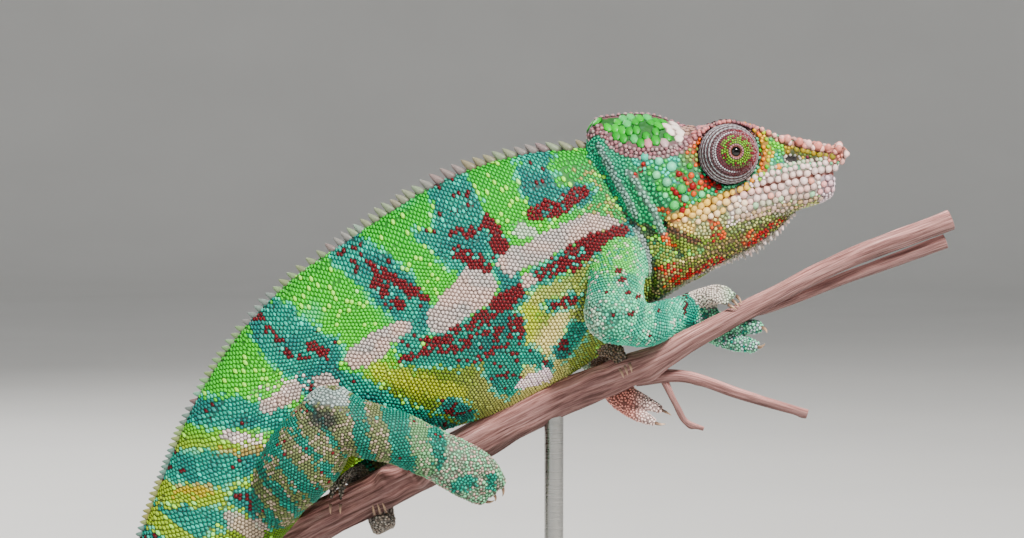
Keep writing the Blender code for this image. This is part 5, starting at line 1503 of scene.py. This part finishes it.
def dome_piece(name, roots, normals, over, radius, length, tall, colours, sides, rings, maps, seed):
    """One mesh of closed domes. Each has a top point, rings of `sides` points at the profile's reach and
    height, and a flat foot sunk in the skin. Seeded draws turn its outline a little and make it uneven."""
    draw = np.random.default_rng(seed)
    count, levels = len(roots), len(rings)
    third = np.cross(normals, over)
    turn = (np.arange(sides) + 0.5) * 2 * math.pi / sides + draw.normal(0, 0.12, (count, 1))
    uneven = 1 + draw.uniform(-0.06, 0.06, (count, sides))
    reach = np.array([r for r, _ in rings])[None, :, None] * uneven[:, None, :] * radius[:, None, None]
    east = reach * np.cos(turn)[:, None, :] * length[:, None, None]
    north = reach * np.sin(turn)[:, None, :]
    up = np.array([h for _, h in rings])[None, :, None] * tall[:, None, None] + 0 * reach
    around = roots[:, None, None]
    for reached, way in ((east, over), (north, third), (up, normals)):
        around = around + reached[..., None] * way[:, None, None]
    around = around.reshape(count, -1, 3)
    top = roots + normals * tall[:, None]
    points = np.concatenate([top[:, None], around], 1).reshape(-1, 3)
    near = np.arange(sides)
    after = (near + 1) % sides
    tops = np.stack([0 * near, 1 + near, 1 + after], 1)
    walls = []
    for above in range(1, 1 + (levels - 1) * sides, sides):
        below = above + sides
        walls.append(np.stack([above + near, below + near, below + after, above + after], 1))
    walls = np.concatenate(walls)
    foot = (1 + (levels - 1) * sides + near)[None, ::-1]
    each = 1 + sides * levels
    first = (np.arange(count) * each)[:, None, None]
    faces = [(form[None] + first).reshape(-1, form.shape[1]) for form in (tops, walls, foot)]
    # Painted light: each dome's top point is painted 1.3 times as bright, as a highlight, and its rings
    # darken towards the foot as painted shade between the scales.
    tone = np.concatenate([[1.3], *[np.full(sides, 1 - 0.9 * t**3) for t in np.linspace(0, 1, levels)]])
    shown = np.clip(colours[:, None] * tone[None, :, None], 0, 1).reshape(-1, 3)
    flat = np.zeros((count, each, 2))
    flat[:, 1:, 0] = (reach * np.cos(turn)[:, None]).reshape(count, -1)
    flat[:, 1:, 1] = north.reshape(count, -1)
    patches = (maps[:, None] + flat / radius[:, None, None] * 0.0015).reshape(-1, 2)
    piece = new_piece(name, points, faces, keratin, shown, patches)
    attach(piece, "root")


part, share, height, _ = skin_places(roots)
over = across_body(roots, normals)
inside_socket = np.zeros(len(roots), bool)
for side in (-1, 1):
    centre = np.array(EYE["centre"]) * (1, side, 1)
    inside_socket |= np.linalg.norm(roots - centre, axis=1) < EYE["radius"] + 0.05
_, _, crest_z, *_, mouth_z = at_slices(HEAD, roots[:, 0])
in_mouth = (np.abs(roots[:, 2] - mouth_z) < 0.3) & (roots[:, 0] > 39) & np.isin(part, (SKULL, JAWS))
in_nostril = np.hypot((roots[:, 0] - NOSTRIL[0]) / 1.9, (roots[:, 2] - NOSTRIL[1]) / 1.2) < 1
bare = (in_mouth | (in_nostril & (part == SKULL))) & ~kept
tall = radius * np.where(big, 0.8, 0.68)
roof = (part == SKULL) & ~kept & (roots[:, 2] > crest_z - 0.2) & (roots[:, 0] < 42)
tall[(part == SKULL) & ~kept & (roots[:, 2] > crest_z - 0.4)] *= 0.62
radius = np.where(roof, 1.36 * radius, radius)
tall[:len(fixed_points)] = fixed_rise
colours = coat_colours(roots, 5)
colours[:len(fixed_points)] = fixed_colours
draw = np.random.default_rng(19)
colours = colours * draw.uniform(0.9, 1.1, (len(roots), 1))
green = colours[:, 1] > 1.6 * np.maximum(colours[:, 0], colours[:, 2])
leafy = big & green & (part == BODY)
colours[leafy] = mixed(colours[leafy], np.array([0.34, 0.85, 0.04]), 0.65)
lighter = big & (colours[:, 1] > colours[:, 0])
colours[lighter] = np.clip(colours[lighter] * 1.25 + 0.005, 0, 1)
around_head = np.arctan2(roots[:, 1], roots[:, 2] - np.interp(roots[:, 0], (25, 80), (176, 184)))
around_limb = np.arctan2(normals[:, 1], normals[:, 0] * 0.44 - normals[:, 2] * 0.89)
side_of = np.where(roots[:, 1] < 0, -1, 1)
along_limb = (roots[:, 0] * 0.7 - roots[:, 2] * 0.3 + 75) / 130
flat_body = np.stack([share, 0.5 + 0.235 * side_of * (height + 1.05)], 1)
flat_head = np.stack([(roots[:, 0] - 10) / 80, 0.5 + around_head / 6.6], 1)
limb, length = np.divmod(part - LIMB, PER_LIMB)
flat_limb = np.stack([(length + np.clip(along_limb, 0, 1)) / 4, 0.5 + around_limb / 6.6], 1)
flat_place = np.where((part < LIMB)[:, None], flat_head, flat_limb)
flat_place = np.where((part == BODY)[:, None], flat_body, flat_place)
trunk = (part == BODY) & (share < 0.5)
REGIONS = {
    "trunk_right": trunk & (side_of < 0), "trunk_left": trunk & (side_of > 0),
    "tail": (part == BODY) & (share >= 0.5), "head": (part > BODY) & (part < LIMB),
    "leg_right": limb == 0, "leg_left": limb == 1, "arm_right": limb == 2, "arm_left": limb >= 3,
}
for name, chosen in REGIONS.items():
    plain = np.nonzero(chosen & ~inside_socket & ~bare & ~kept)[0]
    plain = plain[np.argsort(flat_place[plain, 0], kind="stable")]
    pieces = max(1, math.ceil(len(plain) * DOME_TRIANGLES / PIECE_LIMIT))
    for number, group in enumerate(np.array_split(plain, pieces)):
        low, high = flat_place[group].min(0), flat_place[group].max(0)
        maps = 0.01 + 0.98 * (flat_place[group] - low) / (high - low)
        form = (a[group] for a in (roots, normals, over, radius * 1.08, stretch, tall, colours))
        dome_piece(f"coat_{name}_{number + 1}", *form, 6, DOME, maps, 100 + number)
group = np.nonzero(kept & ~inside_socket)[0]
maps = 0.01 + 0.98 * (flat_head[group] - flat_head[group].min(0)) / np.ptp(flat_head[group], axis=0)
form = (a[group] for a in (roots, normals, over, radius * 1.03, stretch, tall, colours))
dome_piece("coat_head_large", *form, 9, FINE_DOME, maps, 99)

# -------------------------------------------------------------------------------------- the crests
# A single row of soft conical scales stands along the middle of the back and leans towards the tail,
# getting lower down the tail; a fringe of pale, pointed ones hangs under the throat.

CREST_START, CREST_END, CREST_PITCH, CREST_TALL = 0.058, 0.93, 2.6, (3.3, 0.6)
CONE = [(0.42, 0.76), (0.76, 0.36), (1.0, 0.06), (1.0, -0.3)]
FRINGE_PITCH, FRINGE_TALL = 1.5, 2.2

at, places = CREST_START, []
while at < CREST_END:
    places.append(at)
    at += CREST_PITCH * (1 - 0.42 * rise(0.14, 0.4, at) - 0.14 * rise(0.5, 0.9, at)) / spine_length
places = np.array(places)
sx, sz, sd = (np.interp(places, spine_share, spine[:, k]) for k in (0, 1, 2))
ahead = np.stack([np.interp(places, spine_share, spine_heading[:, 0]), 0 * sx,
                  np.interp(places, spine_share, spine_heading[:, 1])], 1)
above = np.cross((0.0, 1.0, 0.0), ahead)
back = np.stack([sx, 0 * sx, sz], 1) + above * (sd - 0.5)[:, None]
lean = unit(above + 0.5 * ahead)
ahead = unit(ahead - lean * (ahead * lean).sum(1, keepdims=True))
fade = 0.55 * rise(0.12, 0.4, places) + 0.45 * rise(0.45, 0.85, places)
draw = np.random.default_rng(29)
tall = CREST_TALL[0] + (CREST_TALL[1] - CREST_TALL[0]) * fade
tall = tall * draw.uniform(0.85, 1.1, len(places)) + 0.3
wide = np.minimum(1.0 * (1 - 0.5 * fade), 0.9 * sd)
colours = mixed(pigment("ash"), pigment("mauve"), draw.random(len(places)) * 0.9) * 0.66
colours = mixed(colours, coat_colours(back, 3), 0.2 + 0.3 * rise(0.2, 0.5, places))
maps = np.stack([0.02 + 0.96 * places, 0.5 + 0 * places], 1)
longer = np.full(len(places), 1.28)
dome_piece("coat_crest", back, lean, ahead, wide, longer, tall, colours, 9, CONE, maps, 31)

x = np.arange(36.5, 70.0, FRINGE_PITCH)
low = np.interp(x, *np.array(THROAT).T[:2])
shorter = 1 - 0.72 * np.clip(np.abs(x - 61) / 9, 0, 1)
fringe, fringe_lean, fringe_tall = [], [], []
for row, (y, size) in enumerate(((0.0, 1.0), (-1.5, 0.55), (1.5, 0.55))):
    shift = 0.5 * FRINGE_PITCH * (row > 0)
    fringe.append(np.stack([x + shift, y + 0 * x, low + 0.9 + 0.35 * (row > 0)], 1))
    fringe_lean.append(np.stack([0.5 + 0 * x, 0.2 * y + 0 * x, -1 + 0 * x], 1))
    fringe_tall.append(size * FRINGE_TALL * shorter * draw.uniform(0.8, 1.15, len(x)) + 0.4)
fringe, fringe_lean, fringe_tall = map(np.concatenate, (fringe, fringe_lean, fringe_tall))
fringe_lean = unit(fringe_lean)
level = unit(np.cross(fringe_lean, (0.0, 1.0, 0.0)))
colours = mixed(pigment("ash"), pigment("pearl"), draw.random(len(fringe)))
maps = np.stack([0.02 + 0.96 * (fringe[:, 0] - 36) / 35, 0.5 + fringe[:, 1] * 0.2], 1)
dome_piece("coat_throat_fringe", fringe, fringe_lean, level, 0.42 + 0.1 * fringe_tall,
           np.full(len(fringe), 1.1), fringe_tall, colours, 8, CONE, maps, 37)

# ---------------------------------------------------------------------------------------- the eyes
# Each eyeball is covered by one muscular lid, a cone of fused skin set with rings of fine scales,
# that leaves an opening no wider than the pupil. The ball behind it is wet and dark.

TURRET_SKIN, RING_PITCH, OPENING, BALL = 7.3, 0.6, 1.5, 1.5
wet, tree, shader = new_finish("wet_eye")
flecks = ramp(tree, noise(tree, 2600.0, 3.0), [(0.35, 0.55), (0.65, 1.0)])
tree.links.new(multiplied(tree, carried(tree, "pigment"), flecks), shader.inputs["Base Color"])
shader.inputs["Roughness"].default_value = 0.05
shader.inputs["Coat Weight"].default_value = 0.3
shader.inputs["Specular IOR Level"].default_value = 0.25
shader.inputs["Coat Roughness"].default_value = 0.02


def about_gaze(side):
    """The eye's centre, its gaze, and two directions square to the gaze."""
    centre = np.array(EYE["centre"]) * (1, side, 1)
    gaze = unit(np.array(EYE["gaze"]) * (1, side, 1))
    level = unit(np.cross(gaze, (0.0, 0.0, 1.0)))
    return centre, gaze, level, np.cross(level, gaze)


def ball_about(centre, gaze, level, raised, radii, tilts, sides):
    """Rings of points round the gaze: at each tilt from it, a radius from the centre."""
    angle = np.arange(sides) * 2 * math.pi / sides
    flat = level * np.cos(angle)[:, None] + raised * np.sin(angle)[:, None]
    return np.concatenate([centre + radius * (gaze * math.cos(tilt) + flat * math.sin(tilt))
                           for radius, tilt in zip(radii, tilts)])


for name, side in (("right", -1), ("left", 1)):
    centre, gaze, level, raised = about_gaze(side)
    start = math.asin(OPENING / TURRET_SKIN)
    tilts = [start * 0.82, start * 0.86, start * 0.95, *np.linspace(start * 1.06, math.pi * 0.96, 90)]
    radii = np.concatenate([[6.3, 6.9, 7.22], TURRET_SKIN + 0.05 * np.cos(np.arange(90) * math.pi)])
    points = ball_about(centre, gaze, level, raised, radii, tilts, 96)
    away = np.degrees(np.arccos(np.clip(unit(points - centre) @ gaze, -1, 1)))
    # Painted shade: the turret's skin, seen between its beads, is darkened to about a quarter of its colour,
    # like the hide's.
    shade = mixed(pigment("moss"), pigment("mauve"), rise(24, 36, away))
    shade = mixed(shade, pigment("slate"), rise(50, 62, away)) * 0.25
    shade[away < 12] = pigment("salmon") * 0.3
    piece = new_piece("turret_" + name, points, capped(len(tilts), 96), hide, shade)
    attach(piece, "root")
    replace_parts(piece, "eye_turret_" + name)

    beads = []  # place, normal, way round the ring, colour, radius, length, height
    tilt, row = start * 1.13, 0
    draw = np.random.default_rng(43 + side)
    while tilt < math.radians(104):
        outer = rise(44, 56, np.degrees(tilt))
        long = 1 + 0.9 * outer
        count = int(round(2 * math.pi * TURRET_SKIN * math.sin(tilt) / (RING_PITCH * 1.04 * long)))
        angle = (np.arange(count) + 0.5 * (row % 2)) * 2 * math.pi / count
        flat = level * np.cos(angle)[:, None] + raised * np.sin(angle)[:, None]
        normal = gaze * math.cos(tilt) + flat * math.sin(tilt)
        rear, specks = 0.5 - 0.5 * side * np.cos(angle), draw.random(count)
        degrees = math.degrees(tilt) + 12 * (rear - 0.5)
        beneath = 0.5 - 0.5 * np.sin(angle)
        hue = mixed(pigment("olive") * 0.8, pigment("mauve") * 0.7, rise(27, 38, degrees))
        red = (specks < 0.4) & (degrees < 54) & (degrees > 22)
        hue[red] = mixed(pigment("scarlet") * 0.6, pigment("plum"), 0.5)
        green = (specks > 0.48) & (degrees < 23 + 14 * rear + 6 * (beneath < 0.3))
        hue[green] = mixed(pigment("olive"), pigment("lime"), 0.3)
        # Painted shade: the beads on the turret's lower side are painted darker.
        hue = hue * (1 - 0.6 * rise(0.6, 0.9, beneath) * rise(20, 30, degrees))[:, None]
        striped = rise(0.35, 0.65, rear) * rise(33, 40, degrees) * rise(66, 56, degrees)
        stripe = pigment("mist") * 0.7 + pigment("lilac") * 0.3 if row % 3 == 0 else pigment("plum")
        hue = mixed(hue, stripe, 0.85 * striped)
        rim = pigment("mist") * 0.4 + pigment("lilac") * 0.24 if row % 2 else pigment("mauve") * 0.18 + 0.01
        hue = mixed(hue, rim, rise(46, 56, degrees))
        if row == 0:
            hue = np.broadcast_to(pigment("mauve") * 0.8, (count, 3))
        hue = hue * draw.uniform(0.88, 1.12, (count, 1))
        size, length, height = RING_PITCH * 0.53, (1.08 + 0.3 * outer) * long, 0.24 - 0.04 * outer
        beads.append([centre + normal * TURRET_SKIN, normal, unit(np.cross(normal, gaze)), hue,
                      np.full(count, size), np.full(count, length), np.full(count, height)])
        tilt += RING_PITCH / TURRET_SKIN
        row += 1
    places, out, turns, hues, size, length, height = map(np.concatenate, zip(*beads))
    flat = (places - centre) @ np.stack([level, raised], 1) / TURRET_SKIN
    ahead = np.arccos(np.clip(out @ gaze, 0, 1))[:, None] / (math.pi / 2)
    maps = 0.5 + flat * np.where((out @ gaze < 0)[:, None], 0.48, 0.44 * ahead)
    maps = np.clip(maps, 0.01, 0.99)
    dome_piece("coat_turret_" + name, places, out, turns, size, length, height, hues, 6, DOME, maps, 47)

    reach = EYE["radius"] - BALL - 0.35
    tilts = np.linspace(0.02, math.pi - 0.02, 40)
    points = ball_about(centre + gaze * reach, gaze, level, raised, np.full(40, BALL), tilts, 48)
    away = np.repeat(np.degrees(tilts), 48)
    shade = np.full((len(points), 3), 0.003)
    shade = mixed(shade, np.array([0.16, 0.08, 0.03]), rise(50, 54, away) * rise(72, 66, away))
    piece = new_piece("eyeball_" + name, points, capped(40, 48), wet, shade)
    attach(piece, "root")
    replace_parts(piece, "eye_" + name)

# --------------------------------------------------------------------------------------- the claws
# Every toe ends in one short hooked claw of pale horn, darker at its root and clear at its point.

CLAW_LENGTH, CLAW_RADIUS = 1.5, 0.5
horn, tree, shader = new_finish("claw_horn")
fibres = noise(tree, 1500.0, 3.0)
streaked = ramp(tree, fibres, [(0.35, 0.75), (0.65, 1.0)])
tree.links.new(multiplied(tree, carried(tree, "pigment"), streaked), shader.inputs["Base Color"])
roughness(tree, shader, fibres, [(0.3, 0.42), (0.7, 0.26)])


def claw(limb, which, number, line):
    """A tapered tube from the toe's end: it follows the toe's heading and bends on the way the toe bends, by
    the square of the share of its length, while its radius falls to a point."""
    heading = unit(line[-1, :3] - line[-3, :3])
    bend = unit(heading - unit(line[-6, :3] - line[-8, :3]) + 1e-6)
    radius = BUNDLES[limb][which][0][-1][3]
    start = line[-1, :3] + heading * line[-1, 3] * 0.55
    length = CLAW_LENGTH + 0.85 * radius - line[-1, 3] * 0.55
    t = np.linspace(0, 1, 12)[:, None]
    path = start + heading * length * (t - 0.25 * t * t) + bend * length * 0.45 * t * t
    forward = unit(np.gradient(path, axis=0))
    side = unit(np.cross(forward, bend))
    third = np.cross(forward, side)
    size = CLAW_RADIUS * 0.92 * (1 - t[:, 0] ** 1.6) ** 0.8 + 0.03
    angle = np.arange(14) * 2 * math.pi / 14
    ring = side[:, None] * (0.8 * np.cos(angle))[:, None] + third[:, None] * np.sin(angle)[:, None]
    points = (path[:, None] + ring * size[:, None, None]).reshape(-1, 3)
    hue = mixed(np.array([0.16, 0.09, 0.06]), np.array([0.5, 0.32, 0.2]), rise(0.1, 0.7, t[:, 0]))
    side_name, limb_name = limb.split("_")
    foot = "foot" if limb_name == "leg" else "hand"
    hues = np.repeat(hue, 14, 0)
    piece = new_piece(f"horn_{side_name}_{foot}_{which}_{number}", points, capped(12, 14), horn, hues)
    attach(piece, "root")
    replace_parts(piece, f"claw_{side_name}_{foot}_{which}_{number}")


for limb, bundles in BUNDLES.items():
    for which in bundles:
        for number, line in enumerate(toe_lines(limb, which)):
            claw(limb, which, number + 1, line)
